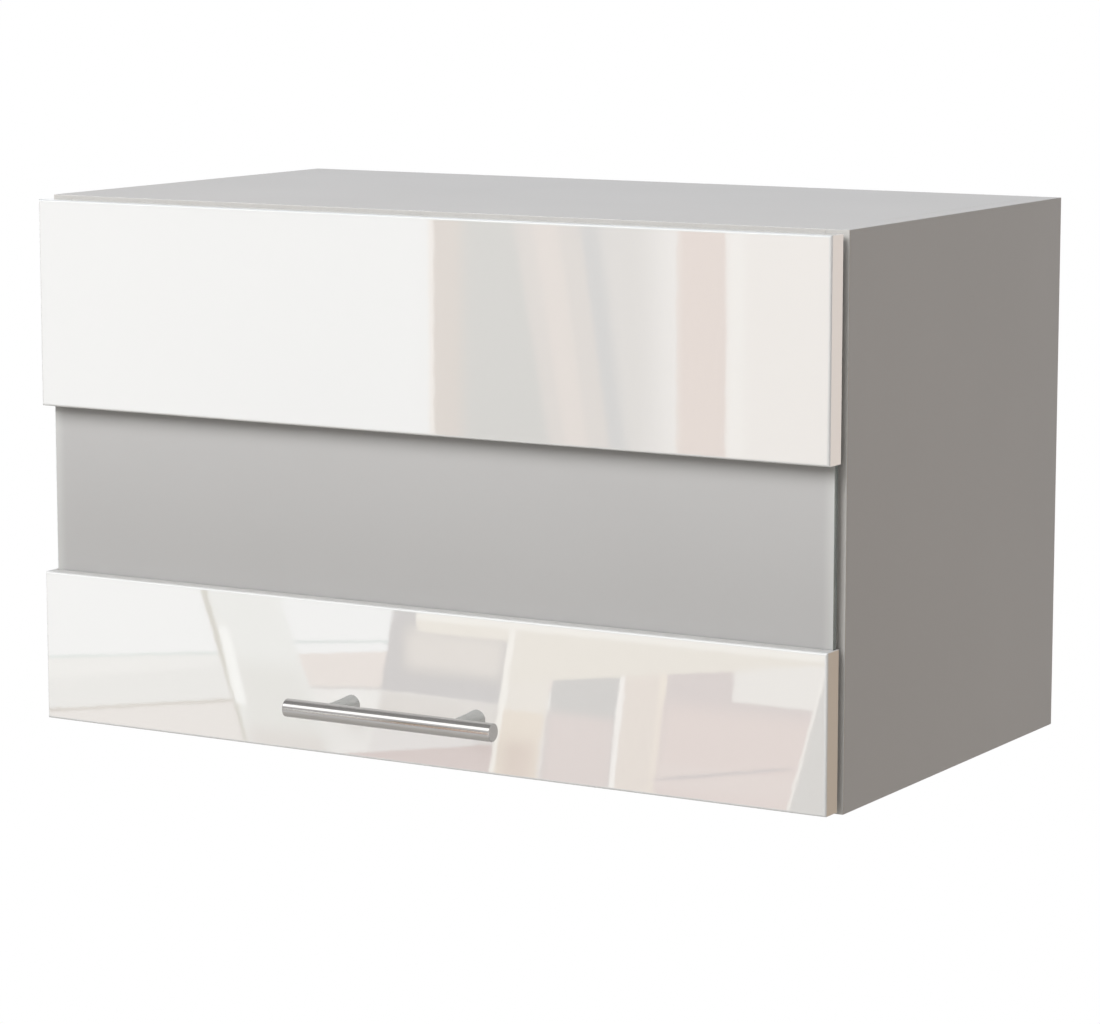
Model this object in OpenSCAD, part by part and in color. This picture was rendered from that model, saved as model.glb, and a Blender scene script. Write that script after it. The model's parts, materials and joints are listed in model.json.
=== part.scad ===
// Lift up wall cabinet, 600 x 360 x 340 mm over the door.
// X runs to the right, Y into the wall and Z up. The origin is on the wall,
// at the middle of the cabinet's bottom edge. The door is drawn closed.

/* [Carcass] */
// Width of the cabinet over its two sides
cab_w = 600; // [500:10:900]
// Height of the cabinet
cab_h = 360; // [330:10:460]
// Depth of the carcass, without the door
cab_d = 320; // [280:10:400]
// Thickness of the carcass boards
board_t = 16; // [15:0.5:20]
// Thickness of the plastic band on the front edges
band_t = 1; // [0.5:0.1:2]
// Thickness of the back panel
back_t = 3; // [2.5:0.1:5]
// Depth of the space between the wall and the back panel
back_recess = 18; // [16:1:30]
// Depth of the grooves that hold the back panel
groove_d = 8; // [5:0.5:9]

/* [Door] */
// Thickness of the two door boards
door_t = 16; // [16:0.5:20]
// Air gap between the closed door and the carcass
door_gap = 4; // [4:0.1:5]
// How far the door stays inside the carcass outline on every side
door_inset = 2; // [1:0.1:3]
// Height of the upper door board
upper_h = 140; // [132:1:160]
// Height of the lower door board
lower_h = 102; // [80:1:120]
// Thickness of the glass strip
glass_t = 4; // [3:0.1:6]
// Height of the rebate that takes each long edge of the glass
glass_lap = 15; // [12:0.5:16]
// Wood left at each end of the rebates, beside the glass
rebate_cheek = 1.5; // [1:0.1:3]
// Thickness of the glazing seal in front of the glass
seal_t = 1; // [0.5:0.1:2]
// Rounding of the front edges of the door boards
door_round = 1.6; // [0.5:0.1:3]

/* [Handle] */
// Diameter of the handle bar
bar_d = 12; // [8:0.5:14]
// Length of the handle bar
bar_len = 158; // [120:1:320]
// Distance between the two handle posts
post_spacing = 96; // [64:32:256]
// Distance from the door face to the middle of the bar
bar_reach = 30; // [24:1:45]
// Height of the bar above the lower edge of the door
bar_rise = 35; // [20:1:50]
// Diameter of a post at the door
post_foot_d = 13; // [10:0.5:16]
// Diameter of a post at the bar
post_top_d = 10; // [8:0.5:12]

/* [Hinges] */
// Distance from the middle of the cabinet to each hinge
hinge_x = 190; // [120:5:200]
// Diameter of the hinge cup
cup_d = 35; // [29:0.5:38]
// Depth of the hinge cup in the door
cup_depth = 12.5; // [12:0.1:13]
// Wood left between the door's top edge and the cup
cup_edge = 3; // [2.5:0.1:3.5]
// Depth of the hinge axis below the back of the door
axis_depth = 8; // [7.5:0.1:8.2]
// Distance from the door's top edge down to the hinge axis
axis_drop = 8; // [7.5:0.1:8.2]
// Diameter of the hinge pin
hinge_pin_d = 3; // [2.5:0.1:3.4]

/* [Stays] */
// Distance from the hinge axis back to the stay's pivot
stay_back = 95; // [85:1:110]
// Distance from the hinge axis down to the stay's pivot
stay_down = 60; // [50:1:70]
// Distance from the hinge axis back to the pin on the door bracket
bracket_back = 22; // [20:0.5:26]
// Distance from the hinge axis down to the pin on the door bracket
bracket_down = 90; // [84:1:96]
// Thickness of the stay's two arms
arm_t = 3; // [2:0.5:4]
// Diameter of the stay's pivot bolt
pivot_d = 8; // [6:0.5:10]
// Diameter of the rivet that joins the two arms
knee_pin_d = 6; // [5:0.5:7]
// Diameter of the pin on the door bracket
bracket_pin_d = 5; // [4:0.5:6]

/* [Fastenings] */
// Diameter of the wooden dowels
dowel_d = 8; // [6:1:8]
// Diameter of the cam locks
cam_d = 15; // [12:1:18]
// Diameter of the wall screws' holes in the wall plates
wall_hole_d = 6.5; // [5:0.5:8]
// Distance between the two wall screws of one plate
wall_hole_spacing = 32; // [24:1:34]

/* [Clearances] */
// Radial play of a dowel, cam or screw in its hole
hole_play = 0.1; // [0.05:0.01:0.2]
// Radial play of a turning pin in its hole
pin_play = 0.05; // [0.02:0.01:0.1]
// Play of the back panel and the glass in their seats
seat_play = 0.25; // [0.1:0.05:0.5]
// Side gap between parts that slide past each other
slide_gap = 0.5; // [0.3:0.1:1]

/* [Hidden] */
$fn = 64;
cut = 1;                                    // how far a cut runs past the face it opens

// colours
board_grey = "#a9a7a4";
band_grey = "#c9c7c4";
inside_white = "#e9e9e7";
gloss_white = "#f3f3f3";
satin_glass = "#bcbcb9";
steel = "#b7b9b9";
zinc = "#9b9d9f";
beech = "#d2ac78";
plastic_white = "#dededc";
plastic_grey = "#8c8f92";

// carcass planes
half_w = cab_w / 2;
inner_x = half_w - board_t;                 // inner face of a side
front_y = -cab_d;                           // front of the carcass
board_front_y = front_y + band_t;           // front of a board under its band
back_rear_y = -back_recess;                 // rear face of the back panel
back_front_y = back_rear_y - back_t;        // face of the back panel inside the cabinet
deck_top_z = cab_h - board_t;               // underside of the top panel

// door planes
door_back_y = front_y - door_gap;
door_front_y = door_back_y - door_t;
door_half_w = half_w - door_inset;
door_top_z = cab_h - door_inset;
door_low_z = door_inset;
upper_low_z = door_top_z - upper_h;         // lower edge of the upper board
lower_top_z = door_low_z + lower_h;         // upper edge of the lower board
glass_front_y = door_back_y - glass_t;
rebate_y = glass_front_y - seal_t;          // bottom of the rebates
rebate_half_w = door_half_w - rebate_cheek;
glass_half_w = rebate_half_w - seat_play;

// corner joints: two cams and two dowels at each end of the top and bottom panels
cam_ys = [front_y + 50, -90];
dowel_ys = [front_y + 82, -122];
cam_inset = 24;                             // from the panel's end to the cam's middle
cam_foot = 4.5;                             // from the bolt's axis to the foot of the cam
cam_h = board_t / 2 + cam_foot;
cam_low = 0.2;                              // how far the cam's top lies below the board's face
cam_key_r = 3.2;
cam_key_depth = 2;
cam_mouth_d = 7.1;
cam_mouth_past = 2;                         // how far the mouth runs past the cam's middle
cam_bolt_d = 5;
cam_bolt_in_side = 11;
cam_bolt_head_d = 6.7;
cam_bolt_head_h = 3;
cam_bolt_past = 1;                          // how far the bolt's head runs past the cam's middle
cam_channel_d = 7.5;
dowel_in_side = 10;
dowel_in_deck = 20;
dowel_end_gap = 0.4;
cap_d = cam_d + 2;
cap_t = 1.2;

// screws: how deep they go into the wood, and how far each hole runs on past the tip
screw_in = 11;
hole_past = 1;
screw_slot_w = 0.8;
wood_screw_head_d = 7.5;

// hinge
axis_y = door_back_y - axis_depth;
axis_z = door_top_z - axis_drop;
cup_r = cup_d / 2;
cup_z = door_top_z - cup_edge - cup_r;      // middle of the cup
cup_wall = 0.8;
cup_floor_y = door_back_y - cup_depth + cup_wall;
cup_flange_t = 1.2;
cup_flange_r = cup_r + 1.5;
cup_screw_x = 22.5;
cup_screw_drop = 9.5;
cup_screw_d = 3.5;
cup_screw_in = 10;
cup_screw_head_d = 7;
cup_screw_head_t = 1.5;
cup_ear_r = 6;                              // rounding of the flange round its two screws
lug_t = 2.5;                                // the lugs that hold the pin
lug_gap = 0.4;
hinge_arm_w = 10;
hinge_arm_t = 4;
hinge_eye_r = 3;
lug_x = hinge_arm_w / 2 + lug_gap;          // near face of a lug, from the hinge's middle
neck_drop = 16;                             // hinge axis to the underside of the arm
arm_low_z = axis_z - neck_drop;
arm_top_z = arm_low_z + hinge_arm_t;
arm_rear_y = front_y + 62;
arm_wide_w = 16;
arm_wide_y = front_y + 2;
plate_line_y = front_y + 37;                // line of the plate screws
plate_front_y = front_y + 10;
plate_body_w = 12;
plate_wing_l = 48;
plate_wing_w = 16;
plate_wing_t = 2.5;
plate_screw_x = 16;
plate_screw_d = 5;
plate_screw_head_d = 9;
arm_screw_ys = [front_y + 20, front_y + 50];
arm_screw_d = 5;
arm_screw_head_d = 9;
arm_screw_end_gap = 0.5;                    // between the tip of an arm screw and the top panel

// stay: the lever and the door's own arm are two equal sides of a parallelogram
stay_y = axis_y + stay_back;
stay_z = axis_z - stay_down;
bracket_y = axis_y + bracket_back;
bracket_z = axis_z - bracket_down;
knee_y = stay_y + bracket_back;
knee_z = stay_z - bracket_down;
base_t = 2.5;
boss_h = 10;
boss_r = 15;
washer_t = 1;
washer_r = 13;
washer_gap = 0.05;
base_face_x = inner_x - base_t;             // face of the base plate
boss_face_x = base_face_x - boss_h;
lever_x1 = boss_face_x - washer_t - 2 * washer_gap;
lever_x0 = lever_x1 - arm_t;
pivot_head_x1 = lever_x0 - washer_t - 2 * washer_gap;
pivot_head_t = 4;
pivot_head_r = 8;
pivot_end_gap = 0.5;                        // between the end of the bolt and the side board
hex_key = 5;
hex_depth = 3;
link_x1 = lever_x0 - slide_gap;
link_x0 = link_x1 - arm_t;
ear_t = 2.5;
ear_x1 = link_x0 - slide_gap;
ear_x0 = ear_x1 - ear_t;
lever_hub_r = 14;
arm_end_r = 8;
link_end_r = 7;
rivet_head_t = 1.4;
rivet_lip = 2;                              // how far a rivet's head stands out round its shank
rivet_gap = 0.1;
base_half_y = 26;
base_half_z = 32;
base_corner_r = 6;
base_screws = [[-19, 24], [19, 24], [0, -25]];
base_screw_d = 4;
screw_head_t = 2;
cover_wall = 1.5;
cover_h = 7;
cover_face_x = base_face_x - cover_h;
bracket_base_w = 28;
bracket_base_h = 36;
bracket_screws = [[9, 11], [19, -11]];      // from the ear inwards, and up from the pin

// hanger, with its hook over the lip of a plate on the wall
hanger_w = 18;
hanger_dy = 43;
hanger_h = 60;
hanger_top_gap = 2;
hanger_top_z = deck_top_z - hanger_top_gap;
hanger_wall = 2;
hanger_x0 = inner_x - hanger_w;
hanger_front_y = back_front_y - hanger_dy;
hanger_x = inner_x - hanger_w / 2;
hanger_low_z = hanger_top_z - hanger_h;
hook_w = 12;
hook_t = 2.5;
hook_drop = 17;
hook_z = hanger_top_z - hook_drop;          // underside of the hook's arm
hook_rise = 4;                              // how far the hook can be raised
hook_leg_back = 14;
hook_leg_y = hanger_front_y + hook_leg_back;
hook_leg_foot = 6;                          // the leg's length below its lower screw
claw_h = 11.7;
claw_low_z = hook_z - claw_h;
claw_rear_y = -3;
back_slot_gap = 1;                          // round the hook in the back panel
adjuster_zs = [hook_z - 19, hook_z - 8];
adjuster_d = 5;
adjuster_head_d = 8;
adjuster_head_t = 3;
adjuster_y = hanger_front_y + 2;
adjuster_past = 4;                          // how far an adjusting screw runs on behind the leg
hanger_screw_zs = [hanger_low_z + 10, hanger_top_z - 7];
hanger_screw_y = back_front_y - 14;
wall_plate_t = 2;
wall_plate_w = 42;
wall_plate_x1 = inner_x - 2;
wall_plate_x0 = wall_plate_x1 - wall_plate_w;
wall_plate_z0 = hook_z - 42;
wall_plate_z1 = hook_z + 8;
lip_past = 3;                               // how far the lip runs on past the hook
lip_x0 = hanger_x - hook_w / 2 - lip_past;
lip_front_y = -9;
lip_play = 0.3;
lip_floor_z = claw_low_z - lip_play;
lip_top_z = hook_z - lip_play;
wall_hole_edge = 12;
wall_hole_x = wall_plate_x0 + wall_hole_edge;
wall_hole_z = (wall_plate_z0 + wall_plate_z1) / 2;

// glass clips, bumpers and handle
clip_xs = [-200, -70, 70, 200];
clip_w = 18;
clip_h = 24;
clip_t = 1.5;
clip_grip = 10;                             // how far a clip reaches over the glass
clip_screw_d = 3;
clip_screw_in = 9;
clip_screw_head_d = 6;
clip_screw_head_t = 1.6;
clip_screw_up = 8;                          // from the edge of the rebate to the clip's screw
clip_up_z = upper_low_z + glass_lap - clip_grip;
clip_up_screw_z = upper_low_z + glass_lap + clip_screw_up;
clip_low_z = lower_top_z - glass_lap + clip_grip - clip_h;
clip_low_screw_z = lower_top_z - glass_lap - clip_screw_up;
seal_h = 10;
seal_inset = 1;
bumper_r = 4;
bumper_gap = 0.3;
bumper_z = 14;
bar_y = door_front_y - bar_reach;
bar_z = door_low_z + bar_rise;
bar_chamfer = 0.8;
handle_screw_d = 4;
handle_screw_in = 15;
handle_screw_head_d = 8;
handle_screw_head_t = 2.4;

// ---- shared shapes ----

module block(x0, x1, y0, y1, z0, z1) {
    translate([x0, y0, z0]) cube([x1 - x0, y1 - y0, z1 - z0]);
}

module rod_x(r, x0, x1, y, z) {
    translate([x0, y, z]) rotate([0, 90, 0]) cylinder(r = r, h = x1 - x0);
}

module rod_y(r, y0, y1, x, z) {
    translate([x, y1, z]) rotate([90, 0, 0]) cylinder(r = r, h = y1 - y0);
}

module rod_z(r, z0, z1, x, y) {
    translate([x, y, z0]) cylinder(r = r, h = z1 - z0);
}

// a flat shape drawn in Y and Z, made solid from x0 to x1
module slab_x(x0, x1) {
    translate([x0, 0, 0]) rotate([90, 0, 90]) linear_extrude(x1 - x0) children();
}

// a flat shape drawn in X and Z, made solid from y0 to y1
module slab_y(y0, y1) {
    translate([0, y1, 0]) rotate([90, 0, 0]) linear_extrude(y1 - y0) children();
}

module left() {
    mirror([1, 0, 0]) children();
}

module both() {
    children();
    left() children();
}

module rounded_rect(x0, x1, y0, y1, r) {
    translate([x0 + r, y0]) square([x1 - x0 - 2 * r, y1 - y0]);
    translate([x0, y0 + r]) square([x1 - x0, y1 - y0 - 2 * r]);
    for (x = [x0 + r, x1 - r], y = [y0 + r, y1 - r]) translate([x, y]) circle(r);
}

// two discs joined by their outer tangents, as the outline of a flat arm
module arm_outline(a, ra, b, rb) {
    d = norm(b - a);
    lean = atan2(b[1] - a[1], b[0] - a[0]);
    open = acos((ra - rb) / d);
    translate(a) circle(ra);
    translate(b) circle(rb);
    polygon([
        a + ra * [cos(lean + open), sin(lean + open)],
        a + ra * [cos(lean - open), sin(lean - open)],
        b + rb * [cos(lean - open), sin(lean - open)],
        b + rb * [cos(lean + open), sin(lean + open)]
    ]);
}

// a screw along +Z: its head starts at 0 and its shank goes up from the head
module screw(d, length, head_d, head_t) {
    difference() {
        cylinder(d = head_d, h = head_t);
        for (turn = [0, 90]) rotate(turn) translate([-head_d * 0.3, -screw_slot_w / 2, -cut])
            cube([head_d * 0.6, screw_slot_w, head_t * 0.6 + cut]);
    }
    translate([0, 0, head_t]) cylinder(d = d, h = length);
}

// ---- carcass ----

module side_pilot(y, z) {
    rod_x(base_screw_d / 2 + hole_play, inner_x - cut, inner_x + screw_in + hole_past, y, z);
}

module right_side_board() {
    difference() {
        block(inner_x, half_w, board_front_y, 0, 0, cab_h);
        block(inner_x - cut, inner_x + groove_d, back_front_y - seat_play, back_rear_y + seat_play,
            board_t - groove_d, deck_top_z + groove_d);
        for (z = [board_t / 2, cab_h - board_t / 2]) {
            for (y = cam_ys) rod_x(cam_bolt_d / 2 + hole_play, inner_x - cut,
                inner_x + cam_bolt_in_side + dowel_end_gap, y, z);
            for (y = dowel_ys) rod_x(dowel_d / 2 + hole_play, inner_x - cut,
                inner_x + dowel_in_side + dowel_end_gap, y, z);
        }
        for (p = base_screws) side_pilot(stay_y + p[0], stay_z + p[1]);
        for (z = hanger_screw_zs) side_pilot(hanger_screw_y, z);
    }
}

// the bottom panel; the top panel is this one turned over
module deck() {
    difference() {
        block(-inner_x, inner_x, board_front_y, 0, 0, board_t);
        block(-inner_x - cut, inner_x + cut, back_front_y - seat_play, back_rear_y + seat_play,
            board_t - groove_d, board_t + cut);
        both() {
            for (y = cam_ys) {
                rod_z(cam_d / 2 + hole_play, board_t - cam_h - hole_play, board_t + cut,
                    inner_x - cam_inset, y);
                rod_x(cam_channel_d / 2, inner_x - cam_inset, inner_x + cut, y, board_t / 2);
            }
            for (y = dowel_ys) rod_x(dowel_d / 2 + hole_play, inner_x - dowel_in_deck - dowel_end_gap,
                inner_x + cut, y, board_t / 2);
        }
    }
}

module left_side() {
    color(board_grey) left() right_side_board();
}

module right_side() {
    color(board_grey) right_side_board();
}

module bottom_panel() {
    color(board_grey) deck();
}

module top_panel() {
    color(board_grey) difference() {
        translate([0, 0, cab_h]) mirror([0, 0, 1]) deck();
        both() for (x = [-plate_screw_x, plate_screw_x])
            rod_z(plate_screw_d / 2 + hole_play, deck_top_z - cut, deck_top_z + screw_in + hole_past,
                hinge_x + x, plate_line_y);
    }
}

module back_panel() {
    reach = groove_d - seat_play;
    color(inside_white) difference() {
        block(-inner_x - reach, inner_x + reach, back_front_y, back_rear_y,
            board_t - reach, deck_top_z + reach);
        both() block(hanger_x - hook_w / 2 - back_slot_gap, hanger_x + hook_w / 2 + back_slot_gap,
            back_front_y - cut, back_rear_y + cut, claw_low_z - back_slot_gap, hook_z + hook_t + hook_rise);
    }
}

module side_edge_bands() {
    color(band_grey) both() block(inner_x, half_w, front_y, board_front_y, 0, cab_h);
}

module deck_edge_bands() {
    color(band_grey) for (z = [0, deck_top_z])
        block(-inner_x, inner_x, front_y, board_front_y, z, z + board_t);
}

module dowels() {
    color(beech) both() for (y = dowel_ys, z = [board_t / 2, cab_h - board_t / 2])
        rod_x(dowel_d / 2, inner_x - dowel_in_deck, inner_x + dowel_in_side, y, z);
}

// one cam lock in the bottom panel, with the mouth that takes the bolt's head
module cam_lock(y) {
    x = inner_x - cam_inset;
    difference() {
        rod_z(cam_d / 2, board_t - cam_h, board_t - cam_low, x, y);
        rod_x(cam_mouth_d / 2, x - cam_mouth_past, x + cam_d, y, board_t / 2);
        rod_z(cam_key_r, board_t - cam_low - cam_key_depth, board_t, x, y);
    }
}

module top_and_bottom() {
    children();
    translate([0, 0, cab_h]) mirror([0, 0, 1]) children();
}

module cam_locks() {
    color(zinc) top_and_bottom() both() for (y = cam_ys) cam_lock(y);
}

module cam_bolts() {
    head_x = inner_x - cam_inset - cam_bolt_past;
    color(steel) top_and_bottom() both() for (y = cam_ys) {
        rod_x(cam_bolt_d / 2, head_x, inner_x + cam_bolt_in_side, y, board_t / 2);
        rod_x(cam_bolt_head_d / 2, head_x, head_x + cam_bolt_head_h, y, board_t / 2);
    }
}

module cam_caps() {
    color(plastic_white) top_and_bottom() both() for (y = cam_ys)
        rod_z(cap_d / 2, board_t, board_t + cap_t, inner_x - cam_inset, y);
}

// ---- hangers and wall plates ----

module right_housing() {
    difference() {
        block(hanger_x0, inner_x, hanger_front_y, back_front_y, hanger_low_z, hanger_top_z);
        block(hanger_x0 + hanger_wall, inner_x - hanger_wall, hanger_front_y - cut,
            back_front_y - hanger_wall, hanger_low_z + hanger_wall, hanger_top_z - hanger_wall);
        block(hanger_x - hook_w / 2 - hole_play, hanger_x + hook_w / 2 + hole_play,
            back_front_y - hanger_wall - cut, back_front_y + cut, hook_z - hole_play,
            hook_z + hook_t + hook_rise);
        for (z = hanger_screw_zs) rod_x(base_screw_d / 2 + hole_play, inner_x - hanger_wall - cut,
            inner_x + cut, hanger_screw_y, z);
    }
}

module right_hook() {
    difference() {
        slab_x(hanger_x - hook_w / 2, hanger_x + hook_w / 2) {
            translate([hook_leg_y, hook_z]) square([claw_rear_y - hook_leg_y, hook_t]);
            translate([hook_leg_y, adjuster_zs[0] - hook_leg_foot])
                square([hook_t, hook_z + hook_t - adjuster_zs[0] + hook_leg_foot]);
            translate([claw_rear_y - hook_t, claw_low_z])
                square([hook_t, hook_z + hook_t - claw_low_z]);
        }
        for (z = adjuster_zs) rod_y(adjuster_d / 2 + hole_play, hook_leg_y - cut, hook_leg_y + hook_t + cut,
            hanger_x, z);
    }
}

module right_plate() {
    difference() {
        union() {
            block(wall_plate_x0, wall_plate_x1, -wall_plate_t, 0, wall_plate_z0, wall_plate_z1);
            block(lip_x0, wall_plate_x1, lip_front_y, 0, lip_floor_z - wall_plate_t, lip_floor_z);
            block(lip_x0, wall_plate_x1, lip_front_y, lip_front_y + wall_plate_t,
                lip_floor_z - wall_plate_t, lip_top_z);
        }
        for (s = [-0.5, 0.5]) rod_y(wall_hole_d / 2, -wall_plate_t - cut, cut, wall_hole_x,
            wall_hole_z + s * wall_hole_spacing);
    }
}

module left_hanger_housing() {
    color(plastic_white) left() right_housing();
}

module right_hanger_housing() {
    color(plastic_white) right_housing();
}

module left_hanger_hook() {
    color(steel) left() right_hook();
}

module right_hanger_hook() {
    color(steel) right_hook();
}

module left_wall_plate() {
    color(steel) left() right_plate();
}

module right_wall_plate() {
    color(steel) right_plate();
}

module hanger_covers() {
    color(plastic_white) both() difference() {
        block(hanger_x0, inner_x, hanger_front_y - hanger_wall, hanger_front_y, hanger_low_z, hanger_top_z);
        for (z = adjuster_zs) rod_y(adjuster_head_d / 2, hanger_front_y - hanger_wall - cut,
            hanger_front_y + cut, hanger_x, z);
    }
}

module hanger_adjusters() {
    reach = hook_leg_y + hook_t + adjuster_past - adjuster_y;
    color(steel) both() for (z = adjuster_zs) translate([hanger_x, adjuster_y, z]) rotate([-90, 0, 0])
        screw(adjuster_d, reach, adjuster_head_d, adjuster_head_t);
}

module hanger_screws() {
    color(steel) both() for (z = hanger_screw_zs)
        translate([inner_x - hanger_wall - screw_head_t, hanger_screw_y, z]) rotate([0, 90, 0])
            screw(base_screw_d, hanger_wall + screw_in, wood_screw_head_d, screw_head_t);
}

// ---- door ----

// one door board from z0 to z1, rounded along its front edges
module door_board(z0, z1) {
    intersection() {
        slab_x(-door_half_w, door_half_w) {
            rounded_rect(door_front_y, door_back_y, z0, z1, door_round);
            translate([door_front_y + door_round, z0])
                square([door_t - door_round, z1 - z0]);
        }
        translate([0, 0, z0]) linear_extrude(z1 - z0) {
            rounded_rect(-door_half_w, door_half_w, door_front_y, door_back_y, door_round);
            translate([-door_half_w, door_front_y + door_round])
                square([2 * door_half_w, door_t - door_round]);
        }
    }
}

module door_pilot(d, depth, x, z) {
    rod_y(d / 2 + hole_play, door_back_y - depth - hole_past, door_back_y + cut, x, z);
}

module clip_holes() {
    for (x = clip_xs, z = [clip_up_screw_z, clip_low_screw_z])
        door_pilot(clip_screw_d, clip_screw_in, x, z);
}

module upper_front() {
    color(gloss_white) difference() {
        door_board(upper_low_z, door_top_z);
        block(-rebate_half_w, rebate_half_w, rebate_y, door_back_y + cut, upper_low_z - cut,
            upper_low_z + glass_lap);
        clip_holes();
        both() {
            rod_y(cup_r, door_back_y - cup_depth, door_back_y + cut, hinge_x, cup_z);
            for (x = [-cup_screw_x, cup_screw_x])
                door_pilot(cup_screw_d, cup_screw_in, hinge_x + x, cup_z - cup_screw_drop);
            for (p = bracket_screws) door_pilot(base_screw_d, screw_in, ear_x1 - p[0], bracket_z + p[1]);
        }
    }
}

module lower_front() {
    color(gloss_white) difference() {
        door_board(door_low_z, lower_top_z);
        block(-rebate_half_w, rebate_half_w, rebate_y, door_back_y + cut, lower_top_z - glass_lap,
            lower_top_z + cut);
        clip_holes();
        for (x = [-post_spacing / 2, post_spacing / 2])
            rod_y(handle_screw_d / 2 + hole_play, door_front_y - cut, door_back_y + cut, x, bar_z);
    }
}

module glass_strip() {
    color(satin_glass, 0.8) block(-glass_half_w, glass_half_w, glass_front_y, door_back_y,
        lower_top_z - glass_lap + seat_play, upper_low_z + glass_lap - seat_play);
}

module glazing_seals() {
    color(plastic_grey) for (z = [lower_top_z - seal_inset - seal_h, upper_low_z + seal_inset])
        block(seal_inset - glass_half_w, glass_half_w - seal_inset, rebate_y, glass_front_y, z, z + seal_h);
}

module clips_at(z0, screw_z) {
    for (x = clip_xs) difference() {
        block(x - clip_w / 2, x + clip_w / 2, door_back_y, door_back_y + clip_t, z0, z0 + clip_h);
        rod_y(clip_screw_d / 2 + hole_play, door_back_y - cut, door_back_y + clip_t + cut, x, screw_z);
    }
}

module glass_clips() {
    color(steel) {
        clips_at(clip_up_z, clip_up_screw_z);
        clips_at(clip_low_z, clip_low_screw_z);
    }
}

module glass_clip_screws() {
    color(steel) for (x = clip_xs, z = [clip_up_screw_z, clip_low_screw_z])
        translate([x, door_back_y + clip_t + clip_screw_head_t, z]) rotate([90, 0, 0])
            screw(clip_screw_d, clip_screw_in + clip_t, clip_screw_head_d, clip_screw_head_t);
}

module door_bumpers() {
    color(plastic_grey) both()
        rod_y(bumper_r, door_back_y, front_y - bumper_gap, inner_x + board_t / 2, bumper_z);
}

module handle_bar() {
    color(steel) translate([-bar_len / 2, bar_y, bar_z]) rotate([0, 90, 0]) {
        cylinder(r1 = bar_d / 2 - bar_chamfer, r2 = bar_d / 2, h = bar_chamfer);
        translate([0, 0, bar_chamfer]) cylinder(d = bar_d, h = bar_len - 2 * bar_chamfer);
        translate([0, 0, bar_len - bar_chamfer])
            cylinder(r1 = bar_d / 2, r2 = bar_d / 2 - bar_chamfer, h = bar_chamfer);
    }
}

module handle_posts() {
    color(steel) for (x = [-post_spacing / 2, post_spacing / 2]) difference() {
        translate([x, door_front_y, bar_z]) rotate([90, 0, 0])
            cylinder(d1 = post_foot_d, d2 = post_top_d, h = bar_reach);
        rod_x(bar_d / 2 + pin_play, x - post_foot_d, x + post_foot_d, bar_y, bar_z);
        rod_y(handle_screw_d / 2 + hole_play, door_front_y - handle_screw_in - hole_past,
            door_front_y + cut, x, bar_z);
    }
}

module handle_screws() {
    color(steel) for (x = [-post_spacing / 2, post_spacing / 2])
        translate([x, door_back_y + handle_screw_head_t, bar_z]) rotate([90, 0, 0])
            screw(handle_screw_d, door_t + handle_screw_in, handle_screw_head_d, handle_screw_head_t);
}

// ---- hinges ----

module right_hinge_plate_shape() {
    difference() {
        union() {
            block(hinge_x - plate_body_w / 2, hinge_x + plate_body_w / 2, plate_front_y, arm_rear_y,
                arm_top_z, deck_top_z);
            block(hinge_x - plate_wing_l / 2, hinge_x + plate_wing_l / 2, plate_line_y - plate_wing_w / 2,
                plate_line_y + plate_wing_w / 2, deck_top_z - plate_wing_t, deck_top_z);
        }
        for (x = [-plate_screw_x, plate_screw_x]) rod_z(plate_screw_d / 2 + hole_play,
            deck_top_z - plate_wing_t - cut, deck_top_z + cut, hinge_x + x, plate_line_y);
        for (y = arm_screw_ys)
            rod_z(arm_screw_d / 2 + hole_play, arm_top_z - cut, deck_top_z + cut, hinge_x, y);
    }
}

module right_hinge_arm_shape() {
    difference() {
        union() {
            slab_x(hinge_x - hinge_arm_w / 2, hinge_x + hinge_arm_w / 2) {
                translate([axis_y, axis_z]) circle(hinge_eye_r);
                translate([axis_y - hinge_arm_t / 2, arm_low_z]) square([hinge_arm_t, neck_drop]);
                translate([axis_y - hinge_arm_t / 2, arm_low_z])
                    square([arm_wide_y - axis_y + hinge_arm_t / 2, hinge_arm_t]);
            }
            block(hinge_x - arm_wide_w / 2, hinge_x + arm_wide_w / 2, arm_wide_y, arm_rear_y,
                arm_low_z, arm_top_z);
        }
        rod_x(hinge_pin_d / 2 + pin_play, hinge_x - hinge_arm_w, hinge_x + hinge_arm_w, axis_y, axis_z);
        for (y = arm_screw_ys)
            rod_z(arm_screw_d / 2 + hole_play, arm_low_z - cut, arm_top_z + cut, hinge_x, y);
    }
}

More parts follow.
